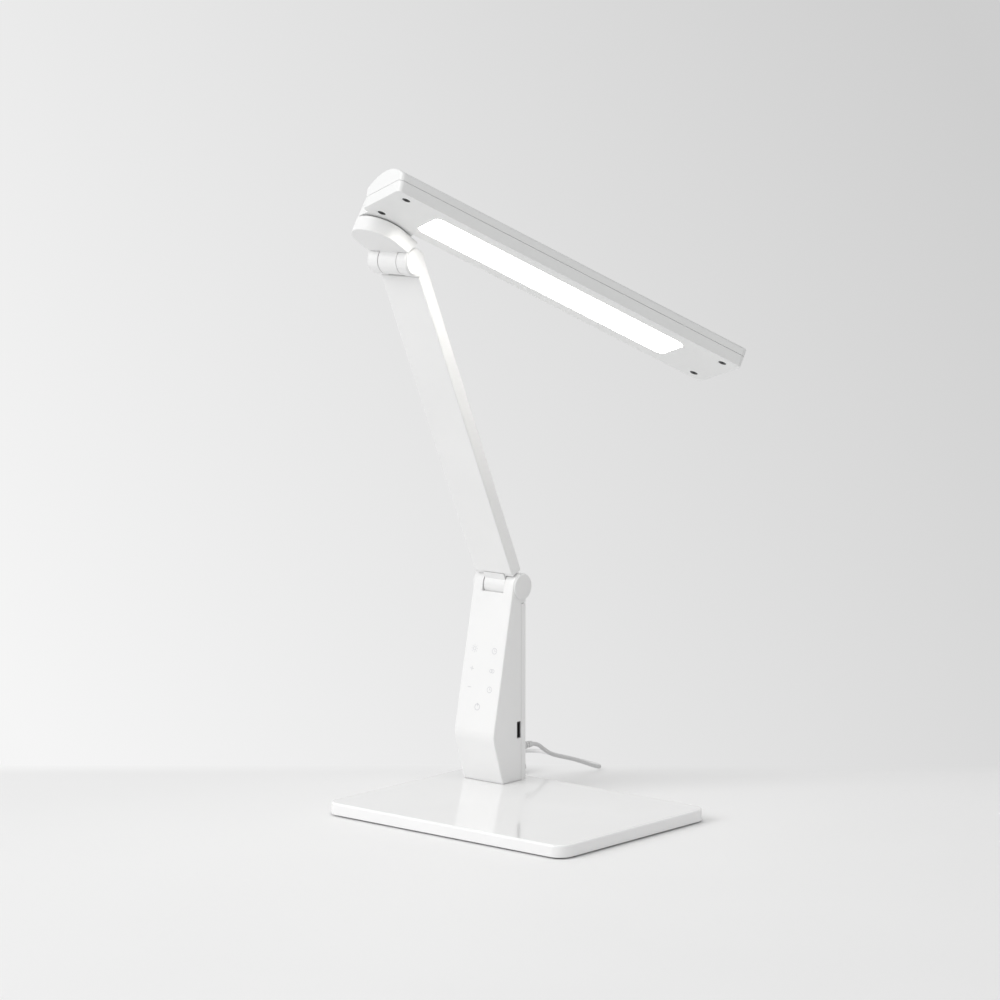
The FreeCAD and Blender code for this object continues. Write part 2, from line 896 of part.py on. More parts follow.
draw_circle(sketch, 0, 0, size["lower_barrel"])
extrude(shell, "Pad", sketch, lower_barrel_width, midplane=True)
sketch = new_sketch(shell, "YZ_Plane")
draw_circle(sketch, 0, 0, size["shaft"] + size["run_gap"])
draw_circle(sketch, knuckle_y, knuckle_z, size["shaft"] + size["run_gap"])
extrude(shell, "Pocket", sketch, size["arm_width"] + 2 * PAST, midplane=True)
place(shell, ARM)
parts.append(shell)
parts.append(
    box(
        "arm_front",
        -size["arm_width"] / 2,
        size["arm_width"] / 2,
        -half_arm,
        front_seam,
        size["arm_start"] + size["arm_wall"] + size["loose_gap"],
        knuckle_z - size["ear_blend"] - size["loose_gap"],
        ARM,
    )
)
bar_back = half_arm - size["arm_wall"]
bar_low = size["arm_start"] + size["arm_wall"] + size["loose_gap"]
bar_high = arm_top - size["ear_blend"] - size["arm_wall"] - size["loose_gap"]
parts.append(
    box(
        "arm_bar",
        -size["bar_width"] / 2,
        size["bar_width"] / 2,
        bar_back - size["bar_thickness"],
        bar_back,
        bar_low,
        bar_high,
        ARM,
    )
)
wire_x = size["bar_width"] / 2 + size["wire"] / 2 + size["loose_gap"]
parts.append(
    rod(
        "arm_wire",
        size["wire"] / 2,
        bar_high - bar_low,
        (wire_x, bar_back - size["wire"] / 2, bar_low),
        "Z",
        ARM,
    )
)
upper_cap = size["knuckle"] - size["cap_inset"]
parts += hinge_hardware(
    "upper", ARM, knuckle_y, knuckle_z, size["arm_width"], size["knuckle_slot"], upper_cap
)

# ---------------------------------------------------------------- knuckle block
half_block = size["block_width"] / 2
block_low = size["block_bottom"]
block_top = size["block_top"]
floor_z = block_low + size["block_wall"]
spindle_y = -size["spindle_back"]

# the block is a D in plan: round in front about the swivel axis, hollowed behind for the arm's ears
hub = new_body("block_lower")
sketch = new_sketch(hub, "XY_Plane", block_low)
draw_rectangle(sketch, -half_block, half_block, spindle_y, -size["block_rear"])
extrude(hub, "Pad", sketch, block_top - block_low)
sketch = new_sketch(hub, "XY_Plane", block_low)
draw_circle(sketch, 0, spindle_y, half_block)
extrude(hub, "Pad", sketch, block_top - block_low)
sketch = new_sketch(hub, "YZ_Plane")
draw_circle(sketch, 0, 0, size["knuckle"] + size["side_gap"])
extrude(hub, "Pocket", sketch, 2 * size["block_width"], midplane=True)
sketch = new_sketch(hub, "YZ_Plane")
draw_rectangle(sketch, -size["block_neck"], 0, block_low, size["knuckle"])
extrude(hub, "Pad", sketch, upper_barrel_width, midplane=True)
sketch = new_sketch(hub, "YZ_Plane")
draw_circle(sketch, 0, 0, size["knuckle"])
extrude(hub, "Pad", sketch, upper_barrel_width, midplane=True)
sketch = new_sketch(hub, "YZ_Plane")
draw_circle(sketch, 0, 0, size["shaft"] + size["run_gap"])
extrude(hub, "Pocket", sketch, size["block_width"], midplane=True)
# the wells for the swivel bush and for the lid over it
lid_low = block_top - size["lid_drop"] - size["lid_thickness"]
bush_well = size["bush"] + size["run_gap"]
sketch = new_sketch(hub, "XY_Plane", floor_z)
draw_circle(sketch, 0, spindle_y, bush_well)
extrude(hub, "Pocket", sketch, block_top, backwards=True)
sketch = new_sketch(hub, "XY_Plane", lid_low)
draw_circle(sketch, 0, spindle_y, size["lid_radius"] + size["run_gap"])
extrude(hub, "Pocket", sketch, block_top, backwards=True)
place(hub, BLOCK)
parts.append(hub)

spindle_hole = size["spindle"] + size["run_gap"]
parts.append(
    ring(
        "block_upper",
        size["lid_radius"],
        spindle_hole,
        size["lid_thickness"],
        (0, spindle_y, lid_low),
        "Z",
        BLOCK,
    )
)

collar_low = floor_z + size["stem_gap"]
collar_top = collar_low + size["collar_thickness"]
roof_low = collar_top + size["bush_roof_gap"]
bush_blank = rod("bush_blank", size["bush"], lid_low - floor_z, (0, spindle_y, floor_z), "Z", BLOCK)
bush_bore = rod("bush_bore", spindle_hole, 3 * block_top, (0, spindle_y, floor_z - PAST), "Z", BLOCK)
collar_radius = size["bush"] - size["collar_inset"]
bush_room = rod(
    "bush_room",
    collar_radius + size["stem_gap"],
    roof_low - floor_z + PAST,
    (0, spindle_y, floor_z - PAST),
    "Z",
    BLOCK,
)
parts.append(combine("Cut", "swivel_bush", bush_blank, [bush_bore, bush_room]))

# ---------------------------------------------------------------- head
# heights inside the head's frame, whose zero is the head's underside
rise = size["head_rise"]
stem_low = lid_low + size["lid_thickness"] + size["stem_gap"] - rise
collar_z = collar_low - rise
head_floor = size["head_wall"]
stem_foot = rod("stem_spindle", size["spindle"], stem_low - collar_z + PAST, (0, 0, collar_z), "Z", SWIVEL)
stem_neck = rod("stem_neck", size["stem"], head_floor - stem_low, (0, 0, stem_low), "Z", SWIVEL)
flange_thickness = size["stem_flange_thickness"]
stem_flange = rod("stem_flange", size["flange_radius"], flange_thickness, (0, 0, head_floor), "Z", SWIVEL)
stem_solid = combine("Fuse", "stem_solid", stem_foot, [stem_neck, stem_flange])
stem_bore = rod("stem_bore", size["spindle_bore"], 2 * rise, (0, 0, collar_z - PAST), "Z", SWIVEL)
parts.append(combine("Cut", "head_stem", stem_solid, [stem_bore]))
parts.append(
    ring(
        "stem_collar",
        collar_radius,
        size["spindle"],
        size["collar_thickness"],
        (0, 0, collar_z),
        "Z",
        SWIVEL,
    )
)

half_head = size["head_width"] / 2
near = -size["head_near"]
far = size["head_length"] - size["head_near"]
inset = size["head_wall"]
crown_top = size["side_height"] + size["crown"]
dome = (half_head * half_head + size["crown"] * size["crown"]) / (2 * size["crown"])


def head_block(name, shrink, low, high):
    """A prism over the head's rectangle, drawn in by shrink. Its near end leans out as it rises."""
    body = new_body(name)
    sketch = new_sketch(body, "YZ_Plane")
    low, high = as_size(low), as_size(high)
    foot = near + shrink
    tip = far - shrink
    draft = size["end_draft"]
    draw_loop(sketch, [(foot - draft * low, low), (tip, low), (tip, high), (foot - draft * high, high)])
    extrude(body, "Pad", sketch, 2 * (half_head - shrink), midplane=True)
    soften(body, "Fillet", size["head_corner"] - shrink * size["corner_share"], upright)
    return body


def add_lug(body, shrink, low, high):
    """The round lug over the block, joined to the head's left side by a straight tab."""
    radius = size["lug_radius"] - shrink
    along = size["lug_along"]
    sketch = new_sketch(body, "XY_Plane", low)
    tab_end = -half_head + size["lug_overlap"]
    draw_rectangle(sketch, -size["lug_side"], tab_end, along - radius, along + radius)
    extrude(body, "Pad", sketch, high - low)
    sketch = new_sketch(body, "XY_Plane", low)
    draw_circle(sketch, -size["lug_side"], along, radius)
    extrude(body, "Pad", sketch, high - low)


def head_prism(name, shrink, low, high):
    """An upright prism over the head's plan, lug and all, drawn in by shrink."""
    body = head_block(name, shrink, low, high)
    add_lug(body, shrink, low, high)
    return body


HEAD_SCREWS = [
    (side * (half_head - size["head_screw_side"]), y)
    for side in (-1, 1)
    for y in (near + size["head_screw_end"], far - size["head_screw_end"])
]
window_low = near + size["window_start"]
window_high = window_low + size["window_length"]
half_window = size["window_width"] / 2

tray = head_prism("head_tray", as_size(0), as_size(0), size["lower_height"])
place(tray, HEAD)
tray_room = head_prism("head_tray_room", inset, inset, size["lower_height"] + PAST)
place(tray_room, HEAD)
window = plate(
    "head_window",
    -half_window,
    half_window,
    window_low,
    window_high,
    as_size(-PAST),
    inset + 2 * PAST,
    size["window_corner"],
    HEAD,
)
stem_hole_radius = size["stem"] + size["stem_play"]
stem_hole = rod("stem_hole", stem_hole_radius, inset + 2 * PAST, (0, 0, -PAST), "Z", SWIVEL)
head_bores = [
    screw_hole("head_bore_%d" % i, (x, y, as_size(0)), size["lower_height"] + 2 * PAST, HEAD)
    for i, (x, y) in enumerate(HEAD_SCREWS)
]
parts.append(combine("Cut", "head_lower", tray, [tray_room, window, stem_hole] + head_bores))


def domed(name, shrink, low):
    """A head prism under the crowned top, whose section across the head is an arc."""
    body = head_block(name, shrink, low, crown_top + PAST)
    sketch = new_sketch(body, "XZ_Plane")
    edge = half_head + size["vault_margin"]
    reach_down = crown_top - shrink - (dome - root(dome * dome - edge * edge))
    high = crown_top + size["vault_margin"]
    across = [edge, edge, -edge, -edge]
    up = [reach_down, high, high, reach_down]
    for index in range(3):
        start = Vector(across[index].value, up[index].value, 0)
        end = Vector(across[index + 1].value, up[index + 1].value, 0)
        sketch.addGeometry(Part.LineSegment(start, end), False)
    centre = Vector(0, crown_top.value - shrink.value - dome.value, 0)
    circle = Part.Circle(centre, Vector(0, 0, 1), dome.value)
    half_turn = math.asin(edge.value / dome.value)
    arc = Part.ArcOfCircle(circle, math.pi / 2 - half_turn, math.pi / 2 + half_turn)
    sketch.addGeometry(arc, False)
    for index in range(2):
        sketch.addConstraint(Sketcher.Constraint("Coincident", index, 2, index + 1, 1))
    sketch.addConstraint(Sketcher.Constraint("Coincident", 3, 1, 0, 1))
    sketch.addConstraint(Sketcher.Constraint("Coincident", 3, 2, 2, 2))
    tie(sketch, "DistanceX", 0, 1, edge)
    tie(sketch, "DistanceY", 0, 1, reach_down)
    tie(sketch, "DistanceX", 0, 2, edge)
    tie(sketch, "DistanceY", 0, 2, high)
    tie(sketch, "DistanceX", 1, 2, -edge)
    tie(sketch, "DistanceY", 1, 2, high)
    tie(sketch, "DistanceX", 2, 2, -edge)
    tie(sketch, "DistanceX", 3, 3, 0)
    index = sketch.addConstraint(Sketcher.Constraint("Radius", 3, dome.value))
    bind(sketch, "Constraints[%d]" % index, dome)
    extrude(body, "Pocket", sketch, 3 * size["head_length"], midplane=True)
    add_lug(body, shrink, low, size["side_height"] - shrink)
    place(body, HEAD)
    return body


seam_top = size["lower_height"] + size["head_seam"]
lid_outside = domed("head_lid_outside", as_size(0), seam_top)
lid_room = domed("head_lid_room", inset, seam_top - PAST)
lid_open = combine("Cut", "head_lid_open", lid_outside, [lid_room])
boss_foot = inset + size["boss_gap"]
boss_height = size["side_height"] - boss_foot + size["boss_root"]
lid_bosses = [
    rod("head_boss_%d" % i, size["boss"], boss_height, (x, y, boss_foot), "Z", HEAD)
    for i, (x, y) in enumerate(HEAD_SCREWS)
]
# the seam's shadow gap has a lip behind it that joins the two shells
lip_low = size["lower_height"] - size["lip_drop"]
lip_high = seam_top + size["lip_root"]
lip_room = head_prism("head_lip_room", 2 * inset, lip_low - PAST, lip_high + PAST)
lip_ring = head_prism("head_lip_ring", inset + size["lip_gap"], lip_low, lip_high)
lip_collar = head_prism("head_lip_collar", inset / 2, seam_top, lip_high)
for prism in (lip_room, lip_ring, lip_collar):
    place(prism, HEAD)
lip_block = combine("Fuse", "head_lip_block", lip_ring, [lip_collar])
head_lip = combine("Cut", "head_lip", lip_block, [lip_room])
lid_solid = combine("Fuse", "head_lid_solid", lid_open, [head_lip] + lid_bosses)
parts.append(combine("Cut", "head_upper", lid_solid, head_bores))

panel_gap = size["panel_gap"]
lap = size["panel_lap"]
pane = plate(
    "diffuser_pane",
    -half_window + panel_gap,
    half_window - panel_gap,
    window_low + panel_gap,
    window_high - panel_gap,
    size["panel_recess"],
    inset,
    size["window_corner"] - panel_gap,
    HEAD,
)
pane_flange = plate(
    "diffuser_flange",
    -half_window - lap,
    half_window + lap,
    window_low - lap,
    window_high + lap,
    inset,
    size["flange_thickness"],
    size["window_corner"],
    HEAD,
)
parts.append(combine("Fuse", "diffuser", pane, [pane_flange]))
stack = inset + size["flange_thickness"]
margin = size["panel_margin"]
guide_edge = half_window + margin
layers = [
    ("light_guide", guide_edge, size["guide_thickness"]),
    ("reflector", guide_edge, size["reflector_thickness"]),
    ("heat_sink", half_window + lap, size["sink_thickness"]),
]
for name, half, thickness in layers:
    start, end = window_low - margin, window_high + margin
    parts.append(box(name, -half, half, start, end, stack, stack + thickness, HEAD))
    stack = stack + thickness
guide_low = inset + size["flange_thickness"]
led_x = guide_edge + size["led_gap"]
board_x = led_x + size["led_thickness"]
parts.append(
    box(
        "led_board",
        board_x,
        board_x + size["led_board_thickness"],
        window_low,
        window_high,
        guide_low,
        guide_low + size["guide_thickness"],
        HEAD,
    )
)
led_count = 24
led_pitch = size["window_length"] / led_count
leds = []
for index in range(led_count):
    led_y = window_low + led_pitch * (index + 0.5) - size["led_width"] / 2
    leds.append(
        box(
            "led_%02d" % index,
            led_x,
            board_x,
            led_y,
            led_y + size["led_width"],
            guide_low + size["led_inset"],
            guide_low + size["guide_thickness"] - size["led_inset"],
            HEAD,
        )
    )
parts.append(group("leds", leds))
parts.append(
    box(
        "driver_board",
        -size["driver_width"] / 2,
        size["driver_width"] / 2,
        window_low + size["driver_start"],
        window_low + size["driver_start"] + size["driver_length"],
        stack,
        stack + size["board_thickness"],
        HEAD,
    )
)
head_screw_length = size["lower_height"] - size["head_screw_short"]
parts.append(
    group(
        "head_screws",
        [
            screw("head_screw_%d" % i, (x, y, as_size(0)), head_screw_length, HEAD)
            for i, (x, y) in enumerate(HEAD_SCREWS)
        ],
    )
)

# ---------------------------------------------------------------- lead
cord_r = size["cord"]
relief = doc.addObject("Part::Cone", "relief_cone")
bind(relief, "Radius1", size["relief_root"])
bind(relief, "Radius2", size["relief_tip"])
bind(relief, "Height", size["relief_length"])
place(relief, POST.moved(0, size["post_back"], relief_z, (1, 0, 0), -90))
relief_neck_start = size["post_back"] - wall
relief_neck = rod("relief_neck", size["relief_root"], wall, (0, relief_neck_start, relief_z), "Y", POST)
flange = size["relief_flange_thickness"]
relief_inside = rod(
    "relief_inside", size["relief_flange"], flange, (0, relief_neck_start - flange, relief_z), "Y", POST
)
parts.append(combine("Fuse", "strain_relief", relief, [relief_neck, relief_inside]))

# how high the lead's middle lies above the floor
LAID = 1.65
# from the strain relief down to the floor, round and behind the post to the coil
LEAD_ROUTE = [
    (-71.8, 103.05, 30.5),
    (-71.8, 110.5, 29.3),
    (-71.6, 117.5, 24.0),
    (-70.2, 125.5, 18.8),
    (-67.8, 135.0, 15.8),
    (-64.8, 147.0, 12.2),
    (-62.0, 157.5, 8.0),
    (-59.4, 166.5, 4.2),
    (-61.2, 174.0, 2.2),
    (-66.5, 179.5, LAID),
    (-76.3, 182.2, LAID),
    (-87.5, 184.4, LAID),
    (-101.4, 186.8, LAID),
    (-115.5, 188.6, LAID),
    (-127.0, 190.8, LAID),
    (-137.0, 192.4, LAID),
    (-143.8, 189.4, LAID),
    (-148.3, 183.5, LAID),
    (-149.4, 176.1, LAID),
    (-146.8, 169.1, LAID),
    (-140.0, 163.2, LAID),
    (-131.5, 156.5, LAID),
    (-121.5, 150.3, LAID),
    (-112.8, 143.0, LAID),
    (-103.7, 132.2, LAID),
]
# from the coil back to the adapter, whose inlet lies a little higher
INLET = 5.0
TAIL_ROUTE = [
    (-140.0, 104.0, LAID),
    (-147.9, 113.0, LAID),
    (-154.9, 126.8, LAID),
    (-158.2, 143.7, LAID),
    (-161.6, 159.2, LAID),
    (-167.7, 171.2, 3.2),
    (-175.9, 181.2, INLET),
]


def tube_path(points):
    """Straight runs joined by tangent arcs, and the arcs' radii."""
    points = [Vector(*point) for point in points]
    edges = []
    radii = []
    start = points[0]
    for before, corner, after in zip(points, points[1:], points[2:]):
        back, ahead = before - corner, after - corner
        half_turn = (math.pi - back.getAngle(ahead)) / 2
        shorter = min(back.Length, ahead.Length)
        radii.append(ARC_SHARE * shorter / math.tan(half_turn))
        back.normalize()
        ahead.normalize()
        enter = corner + back * (ARC_SHARE * shorter)
        leave = corner + ahead * (ARC_SHARE * shorter)
        middle = back + ahead
        middle.normalize()
        depth = radii[-1] * (1 / math.cos(half_turn) - 1)
        edges.append(Part.LineSegment(start, enter).toShape())
        edges.append(Part.Arc(enter, corner + middle * depth, leave).toShape())
        start = leave
    edges.append(Part.LineSegment(start, points[-1]).toShape())
    return Part.Wire(edges), radii


def lead_tube(name, route):
    """A round lead along a route that was laid by hand."""
    path, radii = tube_path(route)
    radius = cord_r.value
    heading = Vector(*route[1]) - Vector(*route[0])
    section = Part.Wire(Part.Circle(Vector(*route[0]), heading, radius).toShape())
    solid = path.makePipeShell([section], True, True)
    expected = math.pi * radius * radius * path.Length
    print("%s: %.1f mm long, volume %.5f of expected" % (name, path.Length, solid.Volume / expected))
    print("  radii:", ", ".join("%.0f" % r for r in radii))
    thing = doc.addObject("Part::Feature", name)
    thing.Label = name
    thing.Shape = solid
    return thing


parts.append(lead_tube("cord", LEAD_ROUTE))
parts.append(lead_tube("cord_tail", TAIL_ROUTE))

coil_half = size["coil_rows"] * cord_r
parts.append(
    ring(
        "cord_coil",
        size["coil_middle"] + coil_half,
        size["coil_middle"] - coil_half,
        2 * cord_r * size["coil_layers"],
        (size["coil_x"], size["coil_y"], size["floor_gap"]),
        "Z",
        GROUND,
    )
)

ADAPTER = GROUND.moved(size["adapter_x"], size["adapter_y"], 0, (0, 0, 1), size["adapter_turn"])
half_adapter = size["adapter_width"] / 2
adapter = new_body("adapter")
sketch = new_sketch(adapter, "XY_Plane", size["floor_gap"])
draw_rectangle(sketch, -half_adapter, half_adapter, 0, size["adapter_length"])
extrude(adapter, "Pad", sketch, size["adapter_height"])
soften(adapter, "Fillet", size["adapter_round"], upright)
place(adapter, ADAPTER)
parts.append(adapter)
parts.append(
    group(
        "adapter_pins",
        [
            rod(
                "adapter_pin_%s" % tag,
                size["pin_radius"],
                size["pin_length"],
                (side * size["pin_spacing"] / 2, size["adapter_length"], size["adapter_height"] / 2),
                "Y",
                ADAPTER,
            )
            for tag, side in (("left", -1), ("right", 1))
        ],
    )
)

# ---------------------------------------------------------------- check and write
doc.recompute()
for thing in doc.Objects:
    if "Invalid" in thing.State or "Error" in thing.State:
        raise RuntimeError("%s failed: %s" % (thing.Name, thing.State))
labels = [part.Label for part in parts]
if len(set(labels)) != len(labels):
    raise RuntimeError("two sub-parts share a name")
os.makedirs("parts", exist_ok=True)
for part in parts:
    if part.Shape.isNull() or not part.Shape.isValid():
        raise RuntimeError(part.Label + " has no valid shape")
for part in parts:
    part.Shape.exportStep("parts/%s.step" % part.Label)
print("%d sub-parts written" % len(parts))
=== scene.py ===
# %% [markdown]
# # A light therapy lamp, dressed for its portrait
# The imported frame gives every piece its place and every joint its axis. This script gives the pieces
# their rounded edges, seams and finishes, lays the lead on the table and sets up a plain studio.

# %% Load the frame
import bmesh
import bpy
import json
import math
from mathutils import Matrix, Vector


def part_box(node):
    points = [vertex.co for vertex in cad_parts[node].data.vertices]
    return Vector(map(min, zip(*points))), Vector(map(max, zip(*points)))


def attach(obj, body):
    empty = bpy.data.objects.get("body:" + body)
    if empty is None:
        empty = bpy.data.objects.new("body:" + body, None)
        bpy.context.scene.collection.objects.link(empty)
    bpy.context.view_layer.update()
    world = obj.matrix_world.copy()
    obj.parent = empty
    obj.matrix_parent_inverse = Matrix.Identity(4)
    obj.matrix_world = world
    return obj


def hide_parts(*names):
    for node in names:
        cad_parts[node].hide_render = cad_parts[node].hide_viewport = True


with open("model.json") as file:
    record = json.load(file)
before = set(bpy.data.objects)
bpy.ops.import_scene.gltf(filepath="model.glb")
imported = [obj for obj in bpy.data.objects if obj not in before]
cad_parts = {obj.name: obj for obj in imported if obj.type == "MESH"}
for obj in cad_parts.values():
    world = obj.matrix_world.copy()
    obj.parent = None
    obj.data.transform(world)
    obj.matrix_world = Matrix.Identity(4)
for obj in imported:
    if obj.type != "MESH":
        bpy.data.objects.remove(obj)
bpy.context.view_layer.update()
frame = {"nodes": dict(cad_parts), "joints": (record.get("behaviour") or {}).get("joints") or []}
nodes = frame["nodes"]
joints = {joint["name"]: joint for joint in frame["joints"]}
MM = 0.001

# %% [markdown]
# ## The view
# The lamp is seen from its front right, a little above, through a long lens, so its upright edges stay
# upright. The camera is placed first, and the lead's coil lies hidden from it.

# %% Camera
CAMERA_PLACE = (1.8139, -2.1361, 0.6329)
CAMERA_PITCH = 8.003
CAMERA_YAW = 40.579
CAMERA_LENS, CAMERA_SENSOR = 138.41, 36.0
CAMERA_REACH = 50.0
camera = bpy.data.objects.new("camera", bpy.data.cameras.new("camera"))
camera.data.lens = CAMERA_LENS
camera.data.sensor_width = CAMERA_SENSOR
camera.data.clip_end = CAMERA_REACH
camera.location = CAMERA_PLACE
camera.rotation_euler = (math.radians(90 - CAMERA_PITCH), 0, math.radians(CAMERA_YAW))
bpy.context.scene.collection.objects.link(camera)
bpy.context.scene.camera = camera
print("camera distance %.2f m" % Vector(CAMERA_PLACE).length)

# %% [markdown]
# ## The lead
# A thin round lead leaves the post through a tapered relief, sinks to the table, turns left and runs in
# behind the post, where its spare length lies in a neat coil of twelve turns. It is one NURBS line, so it
# bends as smoothly as the real one, and its control points are the route's own corners.

# %% Route of the lead
LEAD_RADIUS = 1.6 * MM
LAID = 1.65
INLET = 5.0
LEAD_ROUTE = [
    (-71.8, 103.05, 30.5),
    (-71.8, 110.5, 29.3),
    (-71.6, 117.5, 24.0),
    (-70.2, 125.5, 18.8),
    (-67.8, 135.0, 15.8),
    (-64.8, 147.0, 12.2),
    (-62.0, 157.5, 8.0),
    (-59.4, 166.5, 4.2),
    (-61.2, 174.0, 2.2),
    (-66.5, 179.5, LAID),
    (-76.3, 182.2, LAID),
    (-87.5, 184.4, LAID),
    (-101.4, 186.8, LAID),
    (-115.5, 188.6, LAID),
    (-127.0, 190.8, LAID),
    (-137.0, 192.4, LAID),
    (-143.8, 189.4, LAID),
    (-148.3, 183.5, LAID),
    (-149.4, 176.1, LAID),
    (-146.8, 169.1, LAID),
    (-140.0, 163.2, LAID),
    (-131.5, 156.5, LAID),
    (-121.5, 150.3, LAID),
    (-112.8, 143.0, LAID),
    (-103.7, 132.2, LAID),
]
TAIL_ROUTE = [
    (-140.0, 104.0, LAID),
    (-147.9, 113.0, LAID),
    (-154.9, 126.8, LAID),
    (-158.2, 143.7, LAID),
    (-161.6, 159.2, LAID),
    (-167.7, 171.2, 3.2),
    (-175.9, 181.2, INLET),
    (-181.1, 187.3, INLET),
]
print("route: %d points to the coil, %d to the adapter" % (len(LEAD_ROUTE), len(TAIL_ROUTE)))

# %% [markdown]
# A coil is wound layer on layer. Each turn moves over into the next place just after the turn ahead has
# left it, so no two turns cross. A loop works the turns out, because a hand would place them unevenly.

# %% Coil of the spare length
low_corner, high_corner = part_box("cord_coil")
coil_centre = [(low + high) / 2 / MM for low, high in zip(low_corner, high_corner)]
PITCH = 3.25
COIL_MIDDLE = 16.5
ROWS, LAYERS = 3, 4
TURN_STEPS = 20
ENTRY_ANGLE = 35.0
LEAVE_ANGLE = 174.4
OUTSIDE = 23.0
# over how many degrees the lead joins the first turn, and all the turns cross over
JOINING, CROSSING = 30.0, 300.0
# over how many degrees the tail moves outwards and sinks
MOVING_OUT, SINKING_SPARE = 60.0, 50.0


def slot_of(turn):
    """Radius and height of a turn's place in the coil."""
    layer, place = divmod(turn, ROWS)
    row = ROWS - 1 - place if layer % 2 == 0 else place
    return COIL_MIDDLE + (row - (ROWS - 1) / 2) * PITCH, LAID + layer * PITCH


def ease(value):
    value = min(1.0, max(0.0, value))
    return value * value * (3 - 2 * value)


def coil_points():
    """The coil's control points, wound clockwise from the entry to the point where the tail leaves."""
    turns = ROWS * LAYERS
    top_radius, top_height = slot_of(turns - 1)
    places = [slot_of(turn) for turn in range(turns)] + [(top_radius, top_height + PITCH)]
    window = CROSSING / turns
    points = []
    for turn in range(turns):
        for step in range(TURN_STEPS):
            swept = 360.0 * step / TURN_STEPS
            moved = ease((swept - window * (turns - 1 - turn) - JOINING) / window)
            radius = places[turn][0] + moved * (places[turn + 1][0] - places[turn][0])
            height = places[turn][1] + moved * (places[turn + 1][1] - places[turn][1])
            if turn == 0:
                radius += (1 - ease(swept / JOINING)) * (OUTSIDE - places[0][0])
            points.append((swept, radius, height))
    steps = int(LEAVE_ANGLE / 360 * TURN_STEPS)
    for step in range(steps):
        swept = LEAVE_ANGLE * step / steps
        outward = ease(swept / MOVING_OUT)
        down = ease((swept - JOINING) / (LEAVE_ANGLE - SINKING_SPARE))
        radius = top_radius + outward * (OUTSIDE - top_radius)
        points.append((swept, radius, places[-1][1] + down * (LAID - places[-1][1])))
    made = []
    for swept, radius, height in points:
        angle = math.radians(ENTRY_ANGLE - swept)
        x = coil_centre[0] + radius * math.cos(angle)
        y = coil_centre[1] + radius * math.sin(angle)
        made.append((x, y, height))
    return made


print("coil: %d turns in %d layers" % (ROWS * LAYERS, LAYERS))

# %% [markdown]
# The whole run goes into one spline with a round bevel. A second copy without a bevel is a bare line, and
# it is turned into a mesh.

# %% Lay the lead as one spline
LINE_STEPS, RIM_STEPS = 4, 4


def lay_lead(name, points, radius):
    curve = bpy.data.curves.new(name, "CURVE")
    curve.dimensions = "3D"
    curve.bevel_depth = radius
    curve.bevel_resolution = RIM_STEPS
    curve.use_fill_caps = True
    curve.resolution_u = LINE_STEPS
    spline = curve.splines.new("NURBS")
    spline.points.add(len(points) - 1)
    for point, place in zip(spline.points, points):
        point.co = (*[value * MM for value in place], 1.0)
    spline.order_u = 3
    spline.use_endpoint_u = True
    lead = bpy.data.objects.new(name, curve)
    bpy.context.scene.collection.objects.link(lead)
    return lead


lead_points = LEAD_ROUTE[:-1] + coil_points() + TAIL_ROUTE[1:]
lead = lay_lead("lead", lead_points, LEAD_RADIUS)
lead_line = lay_lead("lead_line", lead_points, 0)
line_mesh = bpy.data.meshes.new_from_object(lead_line)
bpy.data.objects.remove(lead_line)

# %% [markdown]
# ## Writing finishes as sums
# A shader graph is easier to read as arithmetic. A Signal holds one output socket, and adding or
# multiplying signals adds the maths nodes.

# %% Shader arithmetic
class Signal:
    """One output socket of a finish, for use in sums."""

    def __init__(self, finish, socket):
        self.finish = finish
        self.socket = socket

    def math(self, operation, first, second):
        return self.finish.node("Math", {"operation": operation}, {0: first, 1: second})

    def __add__(self, other):
        return self.math("ADD", self, other)

    def __sub__(self, other):
        return self.math("SUBTRACT", self, other)

    def __rsub__(self, other):
        return self.math("SUBTRACT", other, self)

    def __mul__(self, other):
        return self.math("MULTIPLY", self, other)

    __radd__ = __add__
    __rmul__ = __mul__


# %% [markdown]
# A Finish is one material round one Principled shader. Every node that isn't maths comes from its node
# method: the kind of node, its settings, and what goes into its sockets.

